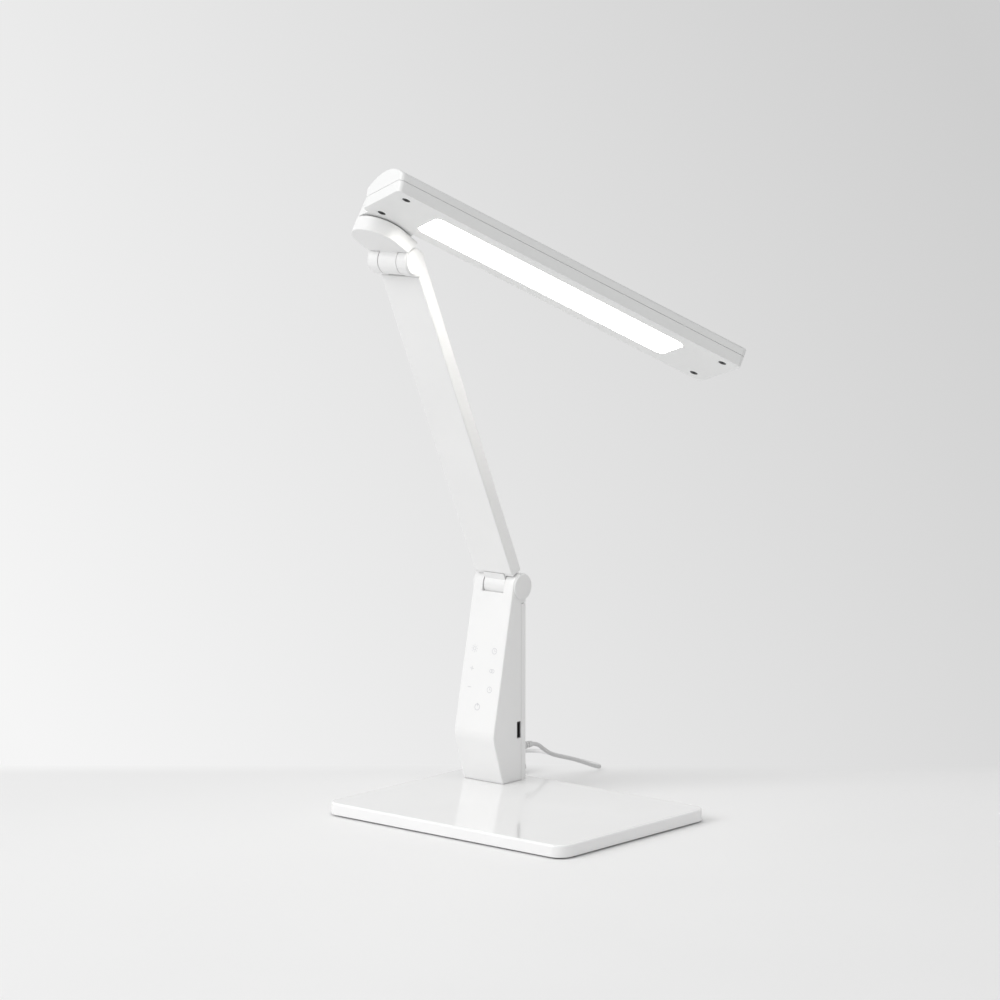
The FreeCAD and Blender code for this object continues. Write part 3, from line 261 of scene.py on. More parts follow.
# %% Finishes
class Finish:
    """A material under construction, built round one Principled shader."""

    def __init__(self, name, **sockets):
        self.material = bpy.data.materials.new(name)
        self.material.use_nodes = True
        self.tree = self.material.node_tree
        self.shader = self.tree.nodes["Principled BSDF"]
        for socket, value in sockets.items():
            self.feed(self.shader.inputs[socket.replace("_", " ")], value)

    def feed(self, socket, value):
        if isinstance(value, Signal):
            self.tree.links.new(value.socket, socket)
        elif hasattr(socket.default_value, "__len__") and len(socket.default_value) == 4:
            socket.default_value = (*value[:3], 1.0)
        else:
            socket.default_value = value

    def node(self, kind, settings=None, sockets=None, out=0):
        made = self.tree.nodes.new("ShaderNode" + kind)
        for key, value in (settings or {}).items():
            if key == "stops":
                for stop, (place, level) in zip(made.color_ramp.elements, value):
                    stop.position = place
                    stop.color = (level, level, level, 1.0)
            else:
                setattr(made, key, value)
        for key, value in (sockets or {}).items():
            self.feed(made.inputs[key], value)
        return Signal(self, made.outputs[out])

    def place(self, turn=(0, 0, 0)):
        """Object coordinates, turned on a piece."""
        where = self.node("TexCoord", out=3)
        return self.node("Mapping", {"vector_type": "TEXTURE"}, {"Vector": where, "Rotation": turn})

    def noise(self, where, scale, detail=2.0, roughness=0.5):
        sockets = {"Vector": where, "Scale": scale, "Detail": detail, "Roughness": roughness}
        return self.node("TexNoise", None, sockets)

    def ramp(self, signal, stops):
        return self.node("ValToRGB", {"stops": stops}, {"Fac": signal})

    def mix(self, factor, first, second):
        made = self.tree.nodes.new("ShaderNodeMix")
        made.data_type = "RGBA"
        self.feed(made.inputs[0], factor)
        self.feed(made.inputs[6], first)
        self.feed(made.inputs[7], second)
        return Signal(self, made.outputs[2])

    def colour(self, signal):
        self.feed(self.shader.inputs["Base Color"], signal)

    def rough(self, signal):
        self.feed(self.shader.inputs["Roughness"], signal)

    def bump(self, height, depth, strength=1.0):
        sockets = {"Height": height, "Distance": depth, "Strength": strength}
        self.feed(self.shader.inputs["Normal"], self.node("Bump", None, sockets))


# %% [markdown]
# ## The plastics
# The lamp is white ABS. The base is polished, so it has a clear gloss with only a faint haze of wiping
# marks. The post, arm and head come from spark-eroded moulds: their satin has a very fine grain, which is
# a bump of a few hundredths of a millimetre, and a roughness that drifts where hands have been.

# %% White plastics
# how many waves of noise a metre of surface holds
HANDLING, SMEARS, MOULD_GRAIN = 14.0, 55.0, 2600.0


def plastic(name, tone, rough, grain, coat=0.0, drift=0.05, wear=0.012):
    """Moulded plastic with a fine grain, drifting gloss and a slight change of tone."""
    finish = Finish(name, Coat_Weight=coat, Coat_Roughness=0.04)
    where = finish.place()
    broad = finish.noise(where, HANDLING, 3.0)
    smear = finish.noise(where, SMEARS, 4.0, 0.6)
    fine = finish.noise(where, MOULD_GRAIN, 1.0)
    darker = tuple(channel * (1 - wear * 2) for channel in tone)
    finish.colour(finish.mix(finish.ramp(broad, [(0.35, 0.0), (0.65, 1.0)]), tone, darker))
    finish.rough(rough + (smear - 0.5) * drift + (broad - 0.5) * drift)
    finish.bump(fine, grain * MM, 0.6)
    return finish.material


WHITE = (0.86, 0.86, 0.858)
SATIN = plastic("satin white", WHITE, 0.36, 0.02)
HEAD_SATIN = plastic("head satin", (0.84, 0.845, 0.84), 0.34, 0.02)
POLISHED = plastic("polished white", (0.95, 0.95, 0.95), 0.12, 0.003, coat=0.5, drift=0.04)
CAP_SATIN = plastic("cap satin", (0.83, 0.83, 0.83), 0.3, 0.015)
BLACK_NYLON = plastic("black nylon", (0.012, 0.012, 0.013), 0.45, 0.02)
NATURAL_NYLON = plastic("natural nylon", (0.72, 0.71, 0.66), 0.5, 0.02)
PRINT_GREY = plastic("print grey", (0.62, 0.62, 0.64), 0.45, 0.004)
print("plastics:", [m.name for m in (SATIN, HEAD_SATIN, POLISHED, CAP_SATIN, BLACK_NYLON)])

# %% [markdown]
# ## Metals, rubber, boards and light
# Steel is brushed along one way, so its noise is stretched. The lead's PVC is soft, matt and a little
# dusty, and its pores are a fine bump.

# %% Metal and rubber
BRUSHING, DUST, PVC_PORES, FOAM_PORES = 180.0, 90.0, 1500.0, 900.0


def metal(name, tone, rough, stretch=(1, 1, 40), grain=0.01):
    finish = Finish(name, Metallic=1.0)
    where = finish.place()
    scaled = finish.node("VectorMath", {"operation": "MULTIPLY"}, {0: where, 1: stretch})
    streak = finish.noise(scaled, BRUSHING, 3.0)
    dull = tuple(channel * 0.82 for channel in tone)
    finish.colour(finish.mix(streak, tone, dull))
    finish.rough(rough + (streak - 0.5) * 0.2)
    finish.bump(streak, grain * MM, 0.5)
    return finish.material


def rubber(name, tone, rough, grain, scale):
    finish = Finish(name, Specular_IOR_Level=0.4)
    where = finish.place()
    dust = finish.noise(where, DUST, 4.0, 0.65)
    pores = finish.noise(where, scale, 2.0)
    dusty = tuple(channel * 0.93 for channel in tone)
    finish.colour(finish.mix(dust, tone, dusty))
    finish.rough(rough + (dust - 0.5) * 0.15)
    finish.bump(pores, grain * MM, 0.7)
    return finish.material


# %% [markdown]
# The boards have a solder mask with faint traces under it, for which a brick pattern serves. The panel
# glows nearly evenly: a slow noise keeps the light from looking painted on.

# %% Boards and the lit pane
TRACES, SPECKLE, CLOUDS, OPAL_GRAIN = 160.0, 900.0, 30.0, 1800.0


def board(name):
    finish = Finish(name, Coat_Weight=0.4, Coat_Roughness=0.2)
    where = finish.place()
    traces = finish.node("TexBrick", None, {"Vector": where, "Scale": TRACES, "Mortar Size": 0.03}, 1)
    speckle = finish.noise(where, SPECKLE, 2.0)
    finish.colour(finish.mix(traces, (0.03, 0.16, 0.07), (0.05, 0.24, 0.11)))
    finish.rough(0.38 + (speckle - 0.5) * 0.1)
    finish.bump(traces, 0.03 * MM, 0.6)
    return finish.material


def glow(name, tone, strength):
    """An opal pane lit from behind."""
    finish = Finish(name, Base_Color=(0.9, 0.9, 0.88), Roughness=0.35, Emission_Strength=strength)
    where = finish.place()
    cloud = finish.noise(where, CLOUDS, 2.0)
    fine = finish.noise(where, OPAL_GRAIN, 1.0)
    rim = tuple(channel * 0.97 for channel in tone)
    lit = finish.mix(cloud, tone, rim)
    finish.feed(finish.shader.inputs["Emission Color"], lit)
    finish.bump(fine, 0.01 * MM, 0.4)
    return finish.material


# %% [markdown]
# With these three makers, each finish is one line: its colour, its roughness, and for a metal the way it
# was brushed.

# %% The other finishes
STEEL = metal("bright steel", (0.62, 0.62, 0.63), 0.28)
PLATE_STEEL = metal("zinc plate", (0.42, 0.43, 0.45), 0.42, (1, 30, 1), 0.02)
TIN = metal("tinned shell", (0.60, 0.60, 0.61), 0.3, (30, 1, 1))
ALUMINIUM = metal("sink aluminium", (0.78, 0.79, 0.80), 0.34, (1, 40, 1))
PIN_METAL = metal("plated pins", (0.78, 0.76, 0.70), 0.22)
SCREW_BLACK = metal("black oxide", (0.035, 0.035, 0.037), 0.42, (1, 1, 1))
LEAD_PVC = rubber("lead pvc", (0.70, 0.70, 0.70), 0.5, 0.02, PVC_PORES)
RELIEF_PVC = rubber("relief pvc", (0.74, 0.74, 0.74), 0.48, 0.02, PVC_PORES)
MAT_RUBBER = rubber("mat foam rubber", (0.60, 0.60, 0.61), 0.8, 0.08, FOAM_PORES)
BOARD_GREEN = board("board green")
PANEL_LIGHT = glow("panel light", (1.0, 0.985, 0.94), 6.0)
LED_PHOSPHOR = plastic("led phosphor", (0.90, 0.74, 0.22), 0.5, 0.01)
CLEAR_GUIDE = plastic("light guide acrylic", (0.86, 0.89, 0.90), 0.12, 0.004)
FILM_WHITE = plastic("reflector film", (0.88, 0.88, 0.88), 0.55, 0.01)
print("finishes:", len(bpy.data.materials))

# %% [markdown]
# ## Frames
# The post stands upright, the arm leans forward, the knuckle block is pitched back and the head is
# swivelled on it. Each group is drawn straight, in millimetres, in a frame of its own, and the frame
# puts it in place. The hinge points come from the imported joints.

# %% Frames of the four groups
LEAN = 24.27
PITCH_BACK = 31.4
SWIVEL = 28.6


def frame_at(place, *turns):
    matrix = Matrix.Translation(place)
    for axis, degrees in turns:
        matrix = matrix @ Matrix.Rotation(math.radians(degrees), 4, axis)
    return matrix @ Matrix.Scale(MM, 4)


lower_axis = joints["arm_tilt"]["pos_m"]
GROUND = frame_at((0, 0, 0))
POST = frame_at((lower_axis[0], 0, 0))
ARM = frame_at(lower_axis, ("X", LEAN))
BLOCK = frame_at(joints["head_tilt"]["pos_m"], ("X", -PITCH_BACK))
SPINDLE = frame_at(joints["head_swivel"]["pos_m"], ("X", -PITCH_BACK), ("Z", -SWIVEL))
# the head hangs beside its spindle, on a lug
LUG_SIDE, LUG_ALONG = 49.3, 12.4
HEAD = SPINDLE @ Matrix.Translation((LUG_SIDE, -LUG_ALONG, 0))
# an outline drawn as (to the back, up) and extruded to the right
SIDE = Matrix(((0, 0, 1, 0), (1, 0, 0, 0), (0, 1, 0, 0), (0, 0, 0, 1)))
print("arm leans %.2f, block pitches %.1f, head swivels %.1f degrees" % (LEAN, PITCH_BACK, SWIVEL))

# %% [markdown]
# ## Tools of the bench
# Most mouldings here are prisms: an outline, an extrusion, then rounded edges. A prism's corners are
# rounded by bevelling its vertices while it is still flat, which gives true arcs.

# %% Prisms
# closer than these, in millimetres, counts as the same place
NEAR = 0.01
MERGE = 0.002


def verts_in(grown):
    """The new vertices that an extrude reports."""
    return [item for item in grown["geom"] if isinstance(item, bmesh.types.BMVert)]


def prism(outline, depth, corner=0.0, steps=8, low=0.0):
    """A closed prism over an outline, from low to low + depth along Z."""
    bm = bmesh.new()
    bm.faces.new([bm.verts.new((x, y, low)) for x, y in outline])
    if corner:
        bmesh.ops.bevel(
            bm, geom=bm.verts[:], affect="VERTICES", offset=corner, segments=steps, profile=0.5,
            material=-1,
        )
    grown = bmesh.ops.extrude_face_region(bm, geom=bm.faces[:])
    bmesh.ops.translate(bm, verts=verts_in(grown), vec=(0, 0, depth))
    bmesh.ops.recalc_face_normals(bm, faces=bm.faces[:])
    return bm


def rectangle(left, right, front, back):
    return [(left, front), (right, front), (right, back), (left, back)]


def arc(centre, radius, start, end, steps):
    """Points on an arc, in degrees."""
    points = []
    for step in range(steps + 1):
        angle = math.radians(start + (end - start) * step / steps)
        points.append((centre[0] + radius * math.cos(angle), centre[1] + radius * math.sin(angle)))
    return points


def moved(bm, matrix):
    bmesh.ops.transform(bm, matrix=matrix, verts=bm.verts[:])
    return bm


def upright_prism(outline, width, **more):
    """A prism over a side view, centred left to right."""
    return moved(prism(outline, width, low=-width / 2, **more), SIDE)


# %% [markdown]
# No moulded edge is sharp, and a rounded edge catches the light. Edges are chosen by the angle between
# their faces and by a test of where they lie, so one call rounds a whole rim.

# %% Rounding
def round_edges(bm, width, steps=3, sharper=50.0, where=None, test=None):
    """Rounds the sharp edges that have both ends where it says and pass the test."""
    chosen = [
        edge
        for edge in bm.edges
        if len(edge.link_faces) == 2
        and edge.calc_face_angle() > math.radians(sharper)
        and (where is None or all(where(vert.co) for vert in edge.verts))
        and (test is None or test(edge))
    ]
    bmesh.ops.bevel(
        bm, geom=chosen, affect="EDGES", offset=width, segments=steps, profile=0.5, material=-1,
        clamp_overlap=True,
    )
    return bm


# %% [markdown]
# Cut-outs are made with a cutter solid, as a milled slot is. The exact Boolean solver works on objects,
# so the blank and its cutters become objects for a moment, and the result is welded afterwards.

# %% Carving
def to_object(bm, name):
    mesh = bpy.data.meshes.new(name)
    bm.to_mesh(mesh)
    bm.free()
    made = bpy.data.objects.new(name, mesh)
    bpy.context.scene.collection.objects.link(made)
    return made


def carve(bm, tools, operation="DIFFERENCE"):
    """The solid with its tools cut away, or joined on with UNION."""
    blank = to_object(bm, "blank")
    helpers = [to_object(tool, "tool") for tool in tools]
    for helper in helpers:
        cut = blank.modifiers.new("cut", "BOOLEAN")
        cut.operation = operation
        cut.solver = "EXACT"
        cut.object = helper
    bpy.context.view_layer.update()
    result = bmesh.new()
    result.from_object(blank, bpy.context.evaluated_depsgraph_get())
    for item in [blank] + helpers:
        mesh = item.data
        bpy.data.objects.remove(item)
        bpy.data.meshes.remove(mesh)
    bmesh.ops.remove_doubles(result, verts=result.verts[:], dist=MERGE)
    bmesh.ops.dissolve_degenerate(result, edges=result.edges[:], dist=MERGE)
    return result


# %% [markdown]
# Round pieces are spun from half a profile, as on a lathe. Pieces that lie along the hinges are spun
# upright and laid over.

# %% Turning, moving and joining
def turned(profile, steps=64, axis="Z"):
    """A solid of revolution about Z from (radius, height) points, or about X."""
    bm = bmesh.new()
    verts = [bm.verts.new((radius, 0, height)) for radius, height in profile]
    edges = [bm.edges.new(pair) for pair in zip(verts, verts[1:])]
    bmesh.ops.spin(
        bm, geom=verts + edges, cent=(0, 0, 0), axis=(0, 0, 1), angle=math.tau, steps=steps,
        use_merge=True,
    )
    bmesh.ops.remove_doubles(bm, verts=bm.verts[:], dist=1e-4)
    bmesh.ops.recalc_face_normals(bm, faces=bm.faces[:])
    return moved(bm, SIDE) if axis == "X" else bm


def cylinder(radius, low, high, steps=72, axis="Z"):
    return turned([(0, low), (radius, low), (radius, high), (0, high)], steps, axis)


def shifted(bm, x=0.0, y=0.0, z=0.0):
    bmesh.ops.translate(bm, verts=bm.verts[:], vec=(x, y, z))
    return bm


def tilted(bm, degrees, axis="X"):
    turn = Matrix.Rotation(math.radians(degrees), 3, axis)
    bmesh.ops.rotate(bm, verts=bm.verts[:], matrix=turn)
    return bm


def joined(parts):
    """Several loose solids in one mesh."""
    whole = bmesh.new()
    for part in parts:
        mesh = bpy.data.meshes.new("part")
        part.to_mesh(mesh)
        part.free()
        whole.from_mesh(mesh)
        bpy.data.meshes.remove(mesh)
    return whole


# %% [markdown]
# A finished solid is put in its frame, on the body it moves with, and in its finish. Edges sharper than
# 35 degrees stay crisp, and weighted normals keep the flat faces flat beside their rounded rims.

# %% Settling a piece
def settle(bm, name, body, place, finish, stands_for=(), smooth=35.0):
    """Puts a finished solid in its frame, on its body and in its finish."""
    moved(bm, place)
    for face in bm.faces:
        face.smooth = True
    for edge in bm.edges:
        edge.smooth = len(edge.link_faces) == 2 and edge.calc_face_angle() < math.radians(smooth)
    piece = to_object(bm, name)
    piece.data.materials.append(finish)
    weighted = piece.modifiers.new("weighted normals", "WEIGHTED_NORMAL")
    weighted.keep_sharp = True
    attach(piece, body)
    if stands_for:
        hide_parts(*stands_for)
    print("%s: %d faces" % (name, len(piece.data.polygons)))
    return piece


# %% [markdown]
# ## The base
# A broad thin tray with a polished top, a soft upper edge and a crisp lower one. It is hollow, and the
# steel weight lies in it, above a foam mat that lifts it a little off the table.

# %% Base cover
BASE_HALF = (115.0, 85.0)
BASE_LOW, BASE_HIGH = 1.3, 10.2
BASE_CORNER = 11.5
BASE_ROUND = 1.8
BASE_WALL = 2.2
base = prism(
    rectangle(-BASE_HALF[0], BASE_HALF[0], -BASE_HALF[1], BASE_HALF[1]),
    BASE_HIGH - BASE_LOW,
    corner=BASE_CORNER,
    steps=14,
    low=BASE_LOW,
)
round_edges(base, BASE_ROUND, 5, where=lambda p: p.z > BASE_HIGH - NEAR)
underside = [face for face in base.faces if face.normal.z < -0.99]
bmesh.ops.inset_individual(base, faces=underside, thickness=BASE_WALL, depth=0.0)
room = BASE_HIGH - BASE_LOW - BASE_WALL
bmesh.ops.inset_individual(base, faces=underside, thickness=0.02, depth=-room)
settle(base, "base_shell", "root", GROUND, POLISHED, ["base_cover"])

# %% [markdown]
# ## The post
# Two shells meet in a seam near the back. The front shell has the long sloping face with the bulge and
# the two ears of the lower hinge. Drawing its side view and extruding it gives both ears at once, and a
# slot cut between them leaves room for the arm's barrel.

# %% Side view of the front shell
POST_WIDTH = 40.0
POST_BACK = 73.0
POST_ROUND = 1.3
SEAM = 67.0
EAR = 10.5
AXIS = (lower_axis[1] / MM, lower_axis[2] / MM)
FOOT_FRONT = 46.0
BULGE = (34.4, 47.0)
SLOT_RADIUS = 10.55
SLOT_FLOOR = AXIS[1] - SLOT_RADIUS
SLOT_MOUTH = AXIS[1] - 4.6
SHELL = 2.2
EAR_ROOT = SLOT_FLOOR - SHELL
SLOT = 21.6
across, along = AXIS[0] - BULGE[0], AXIS[1] - BULGE[1]
to_axis = math.degrees(math.atan2(across, along))
front_slope = to_axis - math.degrees(math.asin(EAR / math.hypot(across, along)))
back_turn = -math.degrees(math.acos((POST_BACK - AXIS[0]) / EAR))
side_view = [(SEAM, BASE_HIGH), (SEAM, EAR_ROOT), (POST_BACK, EAR_ROOT)]
side_view += arc(AXIS, EAR, back_turn, 180 - front_slope, 36)
bulge_up = Vector((math.sin(math.radians(front_slope)), math.cos(math.radians(front_slope))))
bulge_down = Vector((FOOT_FRONT - BULGE[0], BASE_HIGH - BULGE[1])).normalized()
BULGE_REACH, BULGE_STEPS = 5.5, 8
for step in range(BULGE_STEPS + 1):
    share = step / BULGE_STEPS
    start = Vector(BULGE) + bulge_up * BULGE_REACH
    end = Vector(BULGE) + bulge_down * BULGE_REACH
    bend = start * (1 - share) ** 2 + Vector(BULGE) * 2 * share * (1 - share) + end * share ** 2
    side_view.append(tuple(bend))
side_view.append((FOOT_FRONT, BASE_HIGH))
print("front slope %.2f degrees" % front_slope)

# %% [markdown]
# The shell is carved in four places: the slot between the ears, its round floor that clears the arm's
# barrel, the room inside, and the mouth of the USB outlet.

# %% Front shell
post = upright_prism(side_view, POST_WIDTH)
round_edges(
    post, POST_ROUND, 4, sharper=60,
    where=lambda p: abs(p.x) > POST_WIDTH / 2 - NEAR and p.z > BASE_HIGH - 1,
    test=lambda edge: sum(abs(v.co.y - SEAM) for v in edge.verts) > NEAR,
)
slot_tool = upright_prism(rectangle(AXIS[0] - 20, AXIS[0] + 20, SLOT_MOUTH, AXIS[1] + 20), SLOT)
slot_round = shifted(cylinder(SLOT_RADIUS, -SLOT / 2, SLOT / 2, axis="X"), y=AXIS[0], z=AXIS[1])
room_view = [
    (FOOT_FRONT + SHELL, BASE_HIGH - 1),
    (SEAM + 1, BASE_HIGH - 1),
    (SEAM + 1, SLOT_FLOOR - SHELL),
    (AXIS[0] - EAR + SHELL - 1.5, SLOT_FLOOR - SHELL),
    (BULGE[0] + SHELL + 0.6, BULGE[1] + 2),
    (BULGE[0] + SHELL + 0.6, BULGE[1] - 5),
]
room_tool = upright_prism(room_view, POST_WIDTH - 2 * SHELL)
USB = (64.4, 50.0)
USB_HALF = (2.35, 6.65)
usb_view = rectangle(USB[0] - USB_HALF[0], USB[0] + USB_HALF[0], USB[1] - USB_HALF[1], USB[1] + USB_HALF[1])
usb_tool = shifted(upright_prism(usb_view, 10, corner=0.5, steps=3), x=POST_WIDTH / 2)
post = carve(post, [slot_tool, slot_round, room_tool, usb_tool])
round_edges(
    post, 0.35, 2, sharper=60,
    where=lambda p: abs(p.x) < SLOT / 2 + 0.2 and p.z > SLOT_FLOOR - 0.2,
)
settle(post, "post_front_shell", "root", POST, SATIN, ["post_front"])

# %% [markdown]
# The rear shell closes the post below its ears. Its front edge is broken, so the seam reads as a fine
# shadow line, and the cord relief passes through a hole near its foot.

# %% Rear shell
SEAM_GAP = 0.3
RELIEF_HOLE = 4.7
RELIEF_UP = 30.5
rear_view = rectangle(SEAM + SEAM_GAP, POST_BACK, BASE_HIGH, EAR_ROOT - SEAM_GAP)
rear = upright_prism(rear_view, POST_WIDTH)
round_edges(rear, POST_ROUND, 4, where=lambda p: p.y > POST_BACK - NEAR)
round_edges(rear, 0.25, 2, where=lambda p: p.y < SEAM + SEAM_GAP + NEAR)
rear_room = upright_prism(
    rectangle(SEAM - 1, POST_BACK - SHELL, BASE_HIGH + SHELL, EAR_ROOT - 2 * SHELL), POST_WIDTH - 2 * SHELL
)
relief_hole = shifted(tilted(cylinder(RELIEF_HOLE, -8, 8, 40), 90), y=POST_BACK, z=RELIEF_UP)
rear = carve(rear, [rear_room, relief_hole])
settle(rear, "post_rear_shell", "root", POST, SATIN, ["post_rear"])

# %% [markdown]
# ## USB outlet
# On the post's right side sits a standard USB A socket: a drawn steel shell, and a black tongue in its
# mouth. The shell could be cut out with a Boolean. Two insets of its open end make the same thin wall
# with fewer faces.

# %% USB outlet
USB_SHELL = (4.4, 13.0, 14.0)
USB_WALL = 0.4
socket_shell = prism(
    rectangle(-USB_SHELL[0] / 2, USB_SHELL[0] / 2, -USB_SHELL[1] / 2, USB_SHELL[1] / 2),
    USB_SHELL[2],
    corner=0.5,
    steps=3,
)
mouth = [face for face in socket_shell.faces if face.normal.z > 0.99]
bmesh.ops.inset_individual(socket_shell, faces=mouth, thickness=USB_WALL, depth=0.0)
bmesh.ops.inset_individual(socket_shell, faces=mouth, thickness=0.01, depth=-(USB_SHELL[2] - USB_WALL))
USB_SUNK = 0.3
USB_OUT = POST_WIDTH / 2 - USB_SUNK - USB_SHELL[2]
shifted(moved(socket_shell, SIDE), USB_OUT, USB[0], USB[1])
settle(socket_shell, "usb_socket_shell", "root", POST, TIN, ["usb_shell"])

TONGUE_HALF, TONGUE_LONG, TONGUE_OFFSET = (0.75, 5.5), 12.0, 0.6
tongue_plan = rectangle(-TONGUE_HALF[0], TONGUE_HALF[0], -TONGUE_HALF[1], TONGUE_HALF[1])
tongue = moved(prism(tongue_plan, TONGUE_LONG), SIDE)
shifted(tongue, USB_OUT + USB_WALL, USB[0] + TONGUE_OFFSET, USB[1])
round_edges(tongue, 0.15, 2)
settle(tongue, "usb_tongue_black", "root", POST, BLACK_NYLON, ["usb_tongue"])

# %% [markdown]
# At the post's back the lead leaves through a tapered PVC relief. Its ribs are grooves in the half
# profile, and they leave the root stiff and let the tip bend. All of it is round, so it is turned.

# %% Cord relief
RELIEF_ROOT, RELIEF_TIP, RELIEF_RIM = 4.6, 2.4, 5.3
RELIEF_LENGTH, RELIEF_ROUND = 30.0, 0.3
relief_profile = [(0, 0), (RELIEF_RIM, 0), (RELIEF_RIM, 1.0), (RELIEF_ROOT, 1.4)]
RIBS, FIRST_RIB, RIB_PITCH = 7, 5.0, 3.2
GROOVE_DEPTH, THINNEST = 0.75, 1.75
for rib in range(RIBS):
    near = FIRST_RIB + rib * RIB_PITCH
    for along_rib, depth in ((0, 0), (0.15, GROOVE_DEPTH), (1.1, GROOVE_DEPTH), (1.25, 0)):
        reach = near + along_rib
        radius = RELIEF_ROOT + (RELIEF_TIP - RELIEF_ROOT) * reach / RELIEF_LENGTH
        relief_profile.append((max(radius - depth, THINNEST), reach))
relief_profile += [
    (RELIEF_TIP, RELIEF_LENGTH - RELIEF_ROUND),
    (RELIEF_TIP - RELIEF_ROUND, RELIEF_LENGTH),
    (0, RELIEF_LENGTH),
]
relief = shifted(tilted(turned(relief_profile, 40), -90), y=POST_BACK, z=RELIEF_UP)
settle(relief, "cord_relief", "root", POST, RELIEF_PVC, ["strain_relief"])

# %% [markdown]
# ## Hinge caps
# Round snap-in caps close the ends of both hinge pins. Each is a shallow dome with a soft rim.

# %% Hinge caps
CAP_RISE = 1.3
CAP_SPIGOT, CAP_RIM = 1.0, 0.8


def cap(radius, inner, rise):
    """A snap-in cap on the right-hand side of a hinge, its dome outwards."""
    spigot = radius - 0.6
    profile = [(0, -CAP_SPIGOT), (spigot, -CAP_SPIGOT), (spigot, 0), (radius, 0), (radius, rise - 0.9)]
    rim = arc((radius - CAP_RIM, rise - 0.9), CAP_RIM, 0, 78, 5)
    dome = [(radius * 0.6, rise + 0.12), (radius * 0.3, rise + 0.2), (0, rise + 0.23)]
    return shifted(turned(profile + rim + dome, 72, axis="X"), x=inner)


def pair_of_caps(radius, inner, rise, centre):
    right = cap(radius, inner, rise)
    left = tilted(cap(radius, inner, rise), 180, "Z")
    return shifted(joined([right, left]), y=centre[0], z=centre[1])


HEAD_AXIS = (-4.6, 281.4)
ARM_WIDTH = 37.5
settle(
    pair_of_caps(9.9, POST_WIDTH / 2, CAP_RISE, AXIS), "lower_hinge_caps", "root", POST, CAP_SATIN,
    ["lower_cap_left", "lower_cap_right"],
)
settle(
    pair_of_caps(9.6, ARM_WIDTH / 2, CAP_RISE, HEAD_AXIS), "upper_hinge_caps", "arm", ARM, CAP_SATIN,
    ["upper_cap_left", "upper_cap_right"],
)

# %% [markdown]
# ## The arm
# A slim two-piece channel. A front strip lies in the rear shell, with a hairline seam down each side. The
# top flares forward into two ears, and the bottom narrows to a barrel between the post's ears.

# %% Arm shells
ARM_BACK = 5.6
ARM_SEAM = -4.4
ARM_LOW = 11.7
ARM_EAR = 10.2
KNUCKLE_SLOT = 18.6
SLOT_LOW = 270.4
BARREL = 10.0
BARREL_WIDTH = 20.5
arm_view = [
    (ARM_SEAM, ARM_LOW),
    (ARM_BACK, ARM_LOW),
    (ARM_BACK, HEAD_AXIS[1]),
]
arm_view += arc(HEAD_AXIS, ARM_EAR, 4, 178, 30)
arm_view += [
    (HEAD_AXIS[0] - ARM_EAR, HEAD_AXIS[1]),
    (-14.19, 277.91),
    (-12.96, 275.55),
    (-11.81, 274.19),
    (-9.6, 272.2),
    (-7.4, 270.5),
    (-5.6, 269.4),
    (ARM_SEAM, 269.4),
]
arm = upright_prism(arm_view, ARM_WIDTH)
round_edges(
    arm, 1.1, 4, sharper=60,
    where=lambda p: abs(p.x) > ARM_WIDTH / 2 - NEAR,
    test=lambda edge: not all(abs(v.co.y - ARM_SEAM) < NEAR for v in edge.verts),
)
knuckle_tool = upright_prism(rectangle(-30, ARM_BACK + 2, SLOT_LOW, 300), KNUCKLE_SLOT)
arm_room = upright_prism(rectangle(ARM_SEAM - 1, ARM_BACK - 1.8, 13.5, 256.6), ARM_WIDTH - 3.6)
arm = carve(arm, [knuckle_tool, arm_room])
round_edges(
    arm, 0.35, 2, sharper=60,
    where=lambda p: abs(p.x) < KNUCKLE_SLOT / 2 + 0.2 and p.z > SLOT_LOW - 0.2,
)
barrel = cylinder(BARREL, -BARREL_WIDTH / 2, BARREL_WIDTH / 2, axis="X")
round_edges(barrel, 0.5, 2, sharper=60)
neck = upright_prism(rectangle(-ARM_BACK, ARM_BACK, 0, 13.5), BARREL_WIDTH)
arm = carve(arm, [barrel, neck], "UNION")
settle(arm, "arm_rear_shell", "arm", ARM, SATIN, ["arm_rear"])

STRIP = 1.1
strip = prism(rectangle(-ARM_WIDTH / 2, ARM_WIDTH / 2, 13.8, 269.1), STRIP)
round_edges(strip, 0.9, 4, where=lambda p: p.z > STRIP - NEAR and abs(p.x) > 18)
shifted(tilted(strip, 90), y=ARM_SEAM - 0.1)
settle(strip, "arm_front_strip", "arm", ARM, SATIN, ["arm_front"])

# %% [markdown]
# ## The knuckle block
# A D-shaped block on a barrel carries the head. It pitches about the barrel, and the head's lug swivels
# on a lid let into its top, over a thin dark gap that lets them turn freely.

# %% Knuckle block
BLOCK_HALF = 20.0
BLOCK_REAR = -6.0
BLOCK_LOW, BLOCK_TOP = 1.65, 13.1
SPINDLE_Y = -25.0
WELL_FLOOR, LID_LOW, LID_TOP = 3.65, 10.6, 12.9
LID_RADIUS = 16.0
KNUCKLE = 10.2
KNUCKLE_WIDTH = 17.5
EAR_ROOM = 10.75
block_plan = arc((0, SPINDLE_Y), BLOCK_HALF, 180, 360, 48)
block_plan += [(BLOCK_HALF, BLOCK_REAR), (-BLOCK_HALF, BLOCK_REAR)]
block = prism(block_plan, BLOCK_TOP - BLOCK_LOW, low=BLOCK_LOW)
ear_room = cylinder(EAR_ROOM, -30, 30, 96, "X")
block = carve(block, [ear_room])
round_edges(block, 0.8, 4, sharper=60, where=lambda p: p.z < BLOCK_LOW + NEAR)
round_edges(block, 0.45, 3, sharper=60, where=lambda p: p.z > BLOCK_TOP - NEAR)
WELL, LID_GAP = 10.3, 0.1
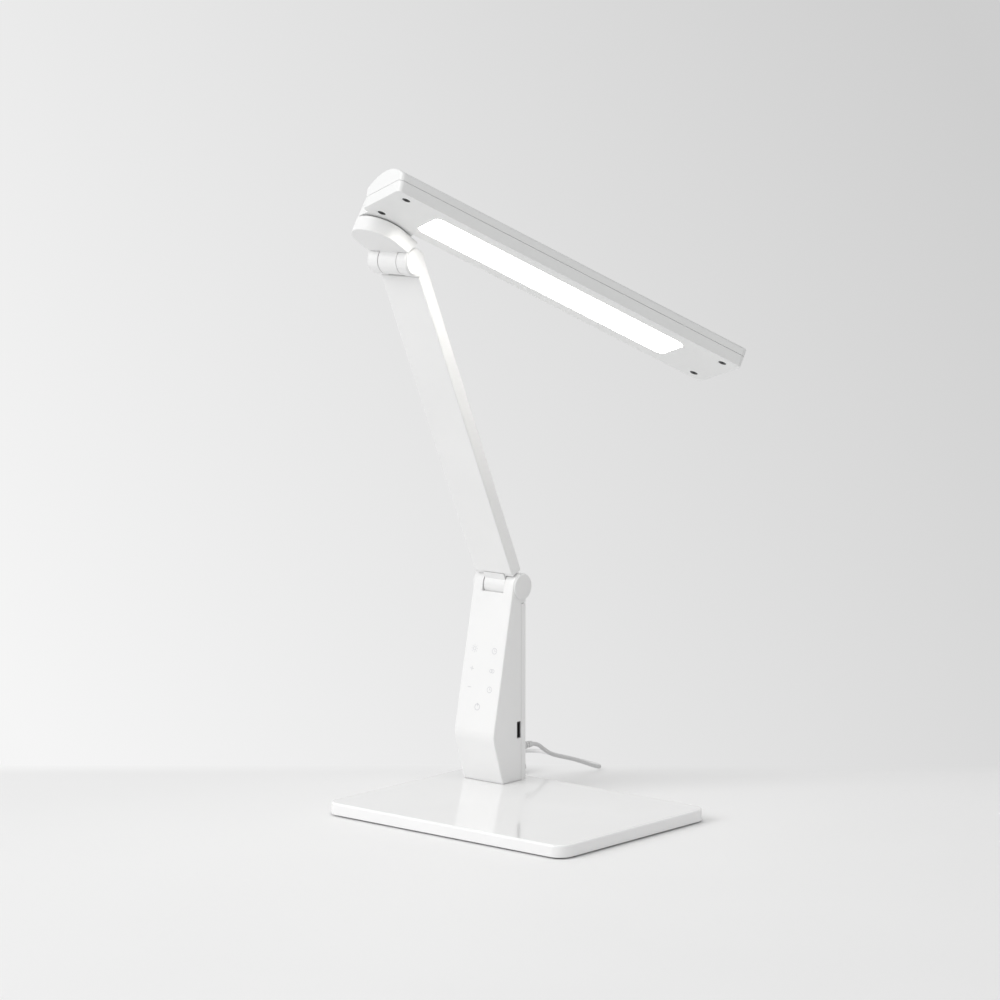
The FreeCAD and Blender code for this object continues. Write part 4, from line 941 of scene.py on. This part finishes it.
well = [
    (0, WELL_FLOOR), (WELL, WELL_FLOOR), (WELL, LID_LOW), (LID_RADIUS + LID_GAP, LID_LOW),
    (LID_RADIUS + LID_GAP, BLOCK_TOP + 1), (0, BLOCK_TOP + 1),
]
hub = cylinder(KNUCKLE, -KNUCKLE_WIDTH / 2, KNUCKLE_WIDTH / 2, axis="X")
round_edges(hub, 0.5, 2, sharper=60)
block_neck = upright_prism(rectangle(-12, 0, BLOCK_LOW, KNUCKLE), KNUCKLE_WIDTH)
block = carve(block, [shifted(turned(well, 72), y=SPINDLE_Y)])
block = carve(block, [hub, block_neck], "UNION")
settle(block, "knuckle_box", "knuckle_block", BLOCK, SATIN, ["block_lower"])

LID_BORE = 6.1
lid_view = rectangle(LID_BORE, LID_RADIUS, LID_LOW, LID_TOP)
lid = turned(lid_view + lid_view[:1], 72)
round_edges(lid, 0.3, 2, sharper=60)
shifted(lid, y=SPINDLE_Y)
settle(lid, "knuckle_lid", "knuckle_block", BLOCK, SATIN, ["block_upper"])

# %% [markdown]
# ## The head
# A shallow tray and a crowned cover close on each other with a hairline seam. A round lug on the left side
# reaches out over the block, and the swivel stem stands in it. The glowing pane sits in a window in the
# tray's underside, a little below flush.

# %% Swivel stem
STEM, STEM_NECK, STEM_FLANGE = 6.0, 8.5, 10.0
STEM_LOW, NECK_LOW, FLANGE_LOW, STEM_TOP = -10.15, -0.9, 2.0, 3.6
stem_profile = [
    (0, STEM_LOW), (STEM, STEM_LOW), (STEM, NECK_LOW), (STEM_NECK, NECK_LOW),
    (STEM_NECK, FLANGE_LOW), (STEM_FLANGE, FLANGE_LOW), (STEM_FLANGE, STEM_TOP), (0, STEM_TOP),
]
stem = turned(stem_profile)
round_edges(stem, 0.35, 2, sharper=60, where=lambda p: p.z < 0)
settle(stem, "swivel_stem", "head", SPINDLE, SATIN, ["head_stem"])

# %% [markdown]
# The tray is one prism over the head's plan with its room, its window and its screw holes cut out. The
# lug is part of the plan, so tray and cover get the same outline from one function.

# %% Head tray
HEAD_HALF = 34.0
HEAD_NEAR, HEAD_FAR = -11.4, 281.0
HEAD_CORNER = 4.0
END_DRAFT = 0.18
LUG = 19.5
TRAY_HIGH = 8.2
HEAD_SEAM = 0.3
SIDE_HIGH = 13.9
CROWN = 8.0
HEAD_SHELL = 2.0
WINDOW = (20.75, 27.8, 238.8)
WINDOW_CORNER = 6.0


def head_plan(inset=0.0):
    """The head's plan: a rectangle with rounded corners and the lug on its left side."""
    side, near, far = HEAD_HALF - inset, HEAD_NEAR + inset, HEAD_FAR - inset
    corner = HEAD_CORNER - 0.6 * inset
    lug = LUG - inset
    plan = []
    for x, y, start in (
        (-side + corner, near + corner, 180), (side - corner, near + corner, 270),
        (side - corner, far - corner, 0), (-side + corner, far - corner, 90),
    ):
        plan += arc((x, y), corner, start, start + 90, 8)
    plan += [(-side, LUG_ALONG + lug)]
    plan += arc((-LUG_SIDE, LUG_ALONG), lug, 90, 270, 40)
    plan += [(-side, LUG_ALONG - lug)]
    return plan


def lean_out(bm, inset=0.0):
    """Leans the near end outwards, as its mould's draft does."""
    corner_end = HEAD_NEAR + HEAD_CORNER + 0.4 * inset
    for vert in bm.verts:
        if vert.co.y < corner_end + NEAR:
            vert.co.y -= END_DRAFT * vert.co.z
    return bm


tray = lean_out(prism(head_plan(), TRAY_HIGH))
round_edges(tray, 1.2, 4, where=lambda p: p.z < NEAR)
tray_room = lean_out(prism(head_plan(HEAD_SHELL), TRAY_HIGH, low=HEAD_SHELL), HEAD_SHELL)
window_tool = prism(
    rectangle(-WINDOW[0], WINDOW[0], WINDOW[1], WINDOW[2]), 6, corner=WINDOW_CORNER, steps=8, low=-2
)
SCREW_HOLE = 3.06
HEAD_SCREW_SPOTS = [(side * 23.3, y) for side in (-1, 1) for y in (0.1, 269.5)]
tray_tools = [tray_room, window_tool]
tray_tools += [
    shifted(cylinder(SCREW_HOLE, -1, 1.7, 32), x=x, y=y) for x, y in HEAD_SCREW_SPOTS
]
tray = carve(tray, tray_tools)
round_edges(
    tray, 0.3, 2, sharper=60,
    where=lambda p: p.z < NEAR and abs(p.x) < WINDOW[0] + 0.1 and WINDOW[1] - 0.1 < p.y < WINDOW[2] + 0.1,
)
settle(tray, "head_tray", "head", HEAD, HEAD_SATIN, ["head_lower"])

# %% [markdown]
# The cover's top is a shallow barrel vault. Its prism is cut into strips along its length, and each
# strip's height follows an arc across the head.

# %% Head cover
SEAM_HIGH = TRAY_HIGH + HEAD_SEAM
VAULT = (HEAD_HALF ** 2 + CROWN ** 2) / (2 * CROWN)
STRIPS = 24


def vaulted(inset, low):
    """The cover's prism under the vault, drawn in by inset. The lug's top stays flat."""
    cover = prism(head_plan(inset), SIDE_HIGH - inset - low, low=low)
    side = HEAD_HALF - inset
    for strip_edge in range(STRIPS):
        x = side * (2 * strip_edge / STRIPS - 1)
        everything = cover.verts[:] + cover.edges[:] + cover.faces[:]
        bmesh.ops.bisect_plane(cover, geom=everything, plane_co=(x, 0, 0), plane_no=(1, 0, 0))
    top = [v for v in cover.verts if v.co.z > SIDE_HIGH - inset - NEAR and v.co.x > -side]
    for vert in top:
        vert.co.z += max(0.0, math.sqrt(VAULT ** 2 - vert.co.x ** 2) - (VAULT - CROWN))
    return lean_out(cover, inset)


cover = vaulted(0, SEAM_HIGH)
round_edges(
    cover, 1.3, 5, sharper=40,
    where=lambda p: p.z > SIDE_HIGH - 0.1,
    test=lambda edge: all(any(f.normal.z > 0.7 for f in v.link_faces) for v in edge.verts)
    and any(f.normal.z < 0.5 for f in edge.link_faces),
)
cover_room = vaulted(HEAD_SHELL, SEAM_HIGH - 1)
cover = carve(cover, [cover_room])
settle(cover, "head_cover", "head", HEAD, HEAD_SATIN, ["head_upper"])

# %% [markdown]
# The opal pane is one plate with a flange that holds it behind the window's rim. Its edge is eased, so the
# window's shadow line stays even all round.

# %% Glowing pane
PANE_GAP = 0.3
PANE_THICK = 2.0
pane_plan = rectangle(-WINDOW[0] + PANE_GAP, WINDOW[0] - PANE_GAP, WINDOW[1] + PANE_GAP, WINDOW[2] - PANE_GAP)
pane = prism(pane_plan, PANE_THICK, corner=WINDOW_CORNER - PANE_GAP, steps=8, low=PANE_GAP)
round_edges(pane, 0.25, 2, where=lambda p: p.z < PANE_GAP + NEAR)
FLANGE = 3.0
flange_plan = rectangle(-WINDOW[0] - FLANGE, WINDOW[0] + FLANGE, WINDOW[1] - FLANGE, WINDOW[2] + FLANGE)
pane_flange = prism(flange_plan, 1.0, corner=WINDOW_CORNER, steps=8, low=HEAD_SHELL)
pane = carve(pane, [pane_flange], "UNION")
settle(pane, "light_pane", "head", HEAD, PANEL_LIGHT, ["diffuser"])

# %% [markdown]
# Four small cross-head screws close the head from below, where a service hand finds them.

# %% Head screws
def cross_screw(x, y):
    """A countersunk cross-head screw, its face at height zero, looking down."""
    body = turned([(0, 0), (2.8, 0), (3.0, 0.15), (3.0, 1.2), (1.45, 1.7), (1.45, 7.6), (0, 7.6)], 28)
    long_half, thin_half = 1.7, 0.3
    slots = [
        prism(rectangle(-wide, wide, -deep, deep), 1.6, low=-0.6)
        for wide, deep in ((long_half, thin_half), (thin_half, long_half))
    ]
    return shifted(carve(body, slots), x=x, y=y)


settle(
    joined([cross_screw(x, y) for x, y in HEAD_SCREW_SPOTS]), "head_screw_set", "head", HEAD,
    SCREW_BLACK, ["head_screws"],
)

# %% [markdown]
# ## Touch marks
# The controls are touch pads behind the post's face. Only faint grey prints show them: six small signs
# for brightness, colour and time, and one for power. Each print is a film a few hundredths of a
# millimetre thick, drawn flat and laid on the sloping face.

# %% Strokes
PRINT_THICK = 0.04


def ring_mark(radius, line, spot, steps=28):
    mark = bmesh.new()
    bmesh.ops.create_circle(mark, cap_ends=False, radius=radius, segments=steps)
    rim = bmesh.ops.extrude_edge_only(mark, edges=mark.edges[:])
    bmesh.ops.scale(mark, vec=((radius - line) / radius,) * 3, verts=verts_in(rim))
    return shifted(mark, *spot)


def bar_mark(length, line, spot, turn=0.0):
    mark = bmesh.new()
    bmesh.ops.create_grid(mark, x_segments=1, y_segments=1, size=0.5)
    bmesh.ops.scale(mark, vec=(length, line, 1), verts=mark.verts[:])
    return shifted(tilted(mark, turn, "Z"), *spot)


# %% [markdown]
# The signs are sums of rings and bars. A font's letters could stand here too, but these strokes keep
# one thickness, as a screen print does.

# %% Signs
def sun_mark(x, y):
    rays = [
        bar_mark(1.0, 0.35, (x + 2.6 * math.cos(a), y + 2.6 * math.sin(a)), math.degrees(a))
        for a in [math.tau * i / 8 for i in range(8)]
    ]
    return [ring_mark(1.5, 0.35, (x, y))] + rays


def power_mark(x, y):
    return [ring_mark(2.6, 0.5, (x, y), 36), bar_mark(2.4, 0.5, (x, y + 1.9), 90)]


def clock_mark(x, y):
    hands = [bar_mark(1.5, 0.35, (x, y + 0.7), 90), bar_mark(1.2, 0.35, (x + 0.6, y), 0)]
    return [ring_mark(2.4, 0.38, (x, y))] + hands


def plus_mark(x, y):
    return [bar_mark(3.6, 0.42, (x, y)), bar_mark(3.6, 0.42, (x, y), 90)]


def minus_mark(x, y):
    return [bar_mark(3.6, 0.42, (x, y))]


def drop_mark(x, y):
    return [ring_mark(1.5, 0.36, (x - 0.9, y)), ring_mark(1.5, 0.36, (x + 0.9, y))]


# %% [markdown]
# All signs are drawn flat, joined, given their thickness in one step, and laid on the face together.

# %% Touch prints
FACE_UP = math.radians(front_slope)
COLUMNS = (-10.2, 9.8)
ROWS_UP = (112.0, 97.0, 83.0)
POWER_UP = 69.0
marks = []
for draw, column, height in (
    (sun_mark, 0, 0), (clock_mark, 1, 0),
    (plus_mark, 0, 1), (drop_mark, 1, 1),
    (minus_mark, 0, 2), (clock_mark, 1, 2),
):
    up = (ROWS_UP[height] - BULGE[1]) / math.cos(FACE_UP)
    marks += draw(COLUMNS[column], up)
marks += power_mark(0, (POWER_UP - BULGE[1]) / math.cos(FACE_UP))
prints = joined(marks)
grown = bmesh.ops.extrude_face_region(prints, geom=prints.faces[:])
bmesh.ops.translate(prints, verts=verts_in(grown), vec=(0, 0, PRINT_THICK))
bmesh.ops.recalc_face_normals(prints, faces=prints.faces[:])
on_face = Matrix.Rotation(math.radians(90) - FACE_UP, 4, "X")
moved(prints, Matrix.Translation((0, BULGE[0], BULGE[1])) @ on_face)
settle(prints, "touch_prints", "root", POST, PRINT_GREY)

# %% [markdown]
# ## The lead's pieces
# The lead ends in a small wall adapter with two round pins, lying behind the lamp. A soft tie holds the
# coil. The lead, its coil and its tail are one spline, so it stands for three solids of the frame.

# %% Adapter
ADAPTER_HALF = 21.0
ADAPTER_LONG = 62.0
ADAPTER_LOW, ADAPTER_HIGH = 0.05, 28.05
ADAPTER_PLACE = frame_at((-0.176, 0.1813, 0), ("Z", 40.6))
ADAPTER_CORNER, ADAPTER_ROUND = 5.0, 2.2
PARTING = 14.0
GROOVE = 0.35


def half_shell(low, high, outer_is_top):
    """One half of the adapter's case, with a broken edge at its parting line."""
    plan = rectangle(-ADAPTER_HALF, ADAPTER_HALF, 0, ADAPTER_LONG)
    half = prism(plan, high - low, corner=ADAPTER_CORNER, steps=10, low=low)
    outer = high if outer_is_top else low
    round_edges(half, ADAPTER_ROUND, 6, where=lambda p: abs(p.z - outer) < NEAR)
    round_edges(half, GROOVE, 2, where=lambda p: abs(p.z - PARTING) < 0.3)
    return half


adapter = joined(
    [half_shell(ADAPTER_LOW, PARTING, False), half_shell(PARTING, ADAPTER_HIGH, True)]
)
settle(adapter, "wall_adapter", "root", ADAPTER_PLACE, SATIN, ["adapter"])

# %% [markdown]
# The tie is a band: a short prism whose ends are taken off and whose wall is thickened. The lead gets its
# finish, goes on the root, and stands in for the frame's cord, coil and tail.

# %% Lead and tie
lead.data.materials.append(LEAD_PVC)
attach(lead, "root")
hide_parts("cord", "cord_coil", "cord_tail")
TIE_REACH, TIE_LOW, TIE_HIGH, TIE_WIDE = 5.6, 0.1, 13.8, 5.0
TIE_CORNER, TIE_THICK, TIE_TURN = 1.6, 0.5, -70
tie_view = rectangle(COIL_MIDDLE - TIE_REACH, COIL_MIDDLE + TIE_REACH, TIE_LOW, TIE_HIGH)
tie = prism(tie_view, TIE_WIDE, corner=TIE_CORNER, steps=5, low=-TIE_WIDE / 2)
ends = [face for face in tie.faces if abs(face.normal.z) > 0.99]
bmesh.ops.delete(tie, geom=ends, context="FACES_ONLY")
bmesh.ops.solidify(tie, geom=tie.faces[:], thickness=TIE_THICK)
bmesh.ops.recalc_face_normals(tie, faces=tie.faces[:])
tilted(tilted(tie, 90), TIE_TURN, "Z")
shifted(tie, coil_centre[0], coil_centre[1])
tie_piece = settle(tie, "coil_tie", "root", GROUND, RELIEF_PVC)

# %% [markdown]
# ## What stays from the frame
# Pieces inside the shells keep the frame's own solids. They get finishes of their own, so an open joint
# or a mouth in a shell shows the right thing.

# %% Finishes for the pieces inside
INSIDE = {
    PLATE_STEEL: ["base_weight", "post_frame", "arm_bar", "stem_collar"],
    STEEL: ["lower_shaft", "upper_shaft", "base_screws", "post_screws"],
    BOARD_GREEN: ["touch_board", "control_board", "led_board", "driver_board"],
    NATURAL_NYLON: ["lower_washers", "upper_washers", "swivel_bush"],
    ALUMINIUM: ["heat_sink"],
    CLEAR_GUIDE: ["light_guide"],
    FILM_WHITE: ["reflector"],
    LED_PHOSPHOR: ["leds"],
    LEAD_PVC: ["arm_wire"],
    PIN_METAL: ["adapter_pins"],
    MAT_RUBBER: ["base_mat"],
}
for finish, names in INSIDE.items():
    for name in names:
        slots = nodes[name].data.materials
        slots.clear()
        slots.append(finish)
print("finished inside:", sum(len(names) for names in INSIDE.values()))

# %% [markdown]
# ## The studio
# The lamp stands on a pale table. The table fades into a pale grey backdrop a hand's breadth behind it,
# and the sky has the same grey wherever it is seen. A real backdrop sheet would fold upwards behind the
# lamp, but a turned view would show its edges.

# %% Floor and backdrop
TABLE_HALF = 6.0
DARKEST, PALEST = 0.62, 0.92
VIEW_TURN = Matrix.Rotation(math.radians(CAMERA_YAW), 4, "Z")
FADE_START, FADE_END = 0.150, 0.195
FLOOR_TONE = (0.76, 0.76, 0.76)
FLOOR_SEEN = (0.88, 0.88, 0.88)
BACKDROP = 0.712
ACROSS_FALL, UP_FALL = -0.87, -0.51

table = Finish("table", Roughness=0.75, Specular_IOR_Level=0.2)
table_where = table.place(turn=(0, 0, math.radians(CAMERA_YAW)))
table_cloud = table.noise(table_where, 3.0, 2.0)
table_seen = table.node("LightPath", out=0)
table_tone = table.mix(table_seen, FLOOR_TONE, FLOOR_SEEN)
table.colour(table.mix(table_cloud * 0.4, table_tone, FLOOR_TONE))
split = table.tree.nodes.new("ShaderNodeSeparateXYZ")
table.feed(split.inputs[0], table_where)
fade = table.node("MapRange", {"interpolation_type": "SMOOTHSTEP"}, {
    "Value": Signal(table, split.outputs[1]), "From Min": FADE_START, "From Max": FADE_END,
})
print("table fades out between %.3f and %.3f m behind the lamp" % (FADE_START, FADE_END))

# %% [markdown]
# The backdrop's grey is a sum on the line of sight, so the table's far part and the sky agree wherever
# they meet. The table is a single sheet, and a Mix Shader fades it into that grey.

# %% Backdrop tone and table top
def added(tree, kind, **settings):
    """A new node in a shader tree."""
    made = tree.nodes.new("ShaderNode" + kind)
    for key, value in settings.items():
        setattr(made, key, value)
    return made


def backdrop_tone(tree, direction, sign):
    """The backdrop's grey along a line of sight: paler to the left and lower down."""
    across = added(tree, "VectorMath", operation="DOT_PRODUCT")
    across.inputs[1].default_value = VIEW_TURN @ Vector((ACROSS_FALL * sign, 0, UP_FALL * sign))
    tree.links.new(direction, across.inputs[0])
    total = added(tree, "Math", operation="ADD")
    total.inputs[1].default_value = BACKDROP
    tree.links.new(across.outputs["Value"], total.inputs[0])
    held = added(tree, "Clamp")
    held.inputs["Min"].default_value = DARKEST
    held.inputs["Max"].default_value = PALEST
    tree.links.new(total.outputs[0], held.inputs[0])
    return held.outputs[0]


looking = added(table.tree, "NewGeometry").outputs["Incoming"]
plain = added(table.tree, "Emission")
table.tree.links.new(backdrop_tone(table.tree, looking, -1), plain.inputs["Color"])
choose = added(table.tree, "MixShader")
table.feed(choose.inputs[0], fade)
table.tree.links.new(table.shader.outputs[0], choose.inputs[1])
table.tree.links.new(plain.outputs[0], choose.inputs[2])
table.tree.links.new(choose.outputs[0], table.tree.nodes["Material Output"].inputs["Surface"])
sheet = bmesh.new()
bmesh.ops.create_grid(sheet, x_segments=1, y_segments=1, size=TABLE_HALF)
table_top = to_object(sheet, "table_top")
table_top.data.materials.append(table.material)

# %% [markdown]
# A broad soft lamp at the front left makes the front faces the brightest, as a window beside the table
# would. The sky fills the rest. Its strength grows upwards for the light it gives, and through a Light
# Path node the camera and glossy faces see the backdrop's grey in its place.

# %% Lights
def soft_lamp(name, place, aim, wide, high, power):
    data = bpy.data.lights.new(name, "AREA")
    data.shape = "RECTANGLE"
    data.size = wide
    data.size_y = high
    data.energy = power
    lamp = bpy.data.objects.new(name, data)
    place = VIEW_TURN @ Vector(place)
    lamp.location = place
    lamp.rotation_euler = (VIEW_TURN @ Vector(aim) - place).to_track_quat("-Z", "Y").to_euler()
    bpy.context.scene.collection.objects.link(lamp)
    return lamp


KEY_POWER = 34.0
SKY_FILL = 0.53
SKY_LEAN = -0.08
SKY_LIFT = 0.31
KEY_PLACE, KEY_AIM, KEY_SIZE = (-2.3, -1.0, 1.7), (0, 0, 0.2), 1.6
soft_lamp("key", KEY_PLACE, KEY_AIM, KEY_SIZE, KEY_SIZE, KEY_POWER)
world = bpy.data.worlds.new("sky")
bpy.context.scene.world = world
world.use_nodes = True
sky = world.node_tree
shining = sky.nodes["Background"]
shining.inputs["Color"].default_value = (1, 1, 1, 1)
sight = added(sky, "TexCoord").outputs["Generated"]
side = added(sky, "VectorMath", operation="DOT_PRODUCT")
side.inputs[1].default_value = VIEW_TURN @ Vector((SKY_LEAN, 0, SKY_LIFT))
level = added(sky, "Math", operation="ADD")
level.inputs[1].default_value = SKY_FILL
seen = added(sky, "Background")
rays = added(sky, "LightPath")
either = added(sky, "Math", operation="MAXIMUM")
blend = added(sky, "MixShader")
for start, end in (
    (sight, side.inputs[0]),
    (side.outputs["Value"], level.inputs[0]),
    (level.outputs[0], shining.inputs["Strength"]),
    (backdrop_tone(sky, sight, 1), seen.inputs["Color"]),
    (rays.outputs["Is Camera Ray"], either.inputs[0]),
    (rays.outputs["Is Glossy Ray"], either.inputs[1]),
    (either.outputs[0], blend.inputs[0]),
    (shining.outputs[0], blend.inputs[1]),
    (seen.outputs[0], blend.inputs[2]),
    (blend.outputs[0], sky.nodes["World Output"].inputs["Surface"]),
):
    sky.links.new(start, end)
bpy.context.scene.view_settings.view_transform = "Standard"
print("lights:", [item.name for item in bpy.data.lights])
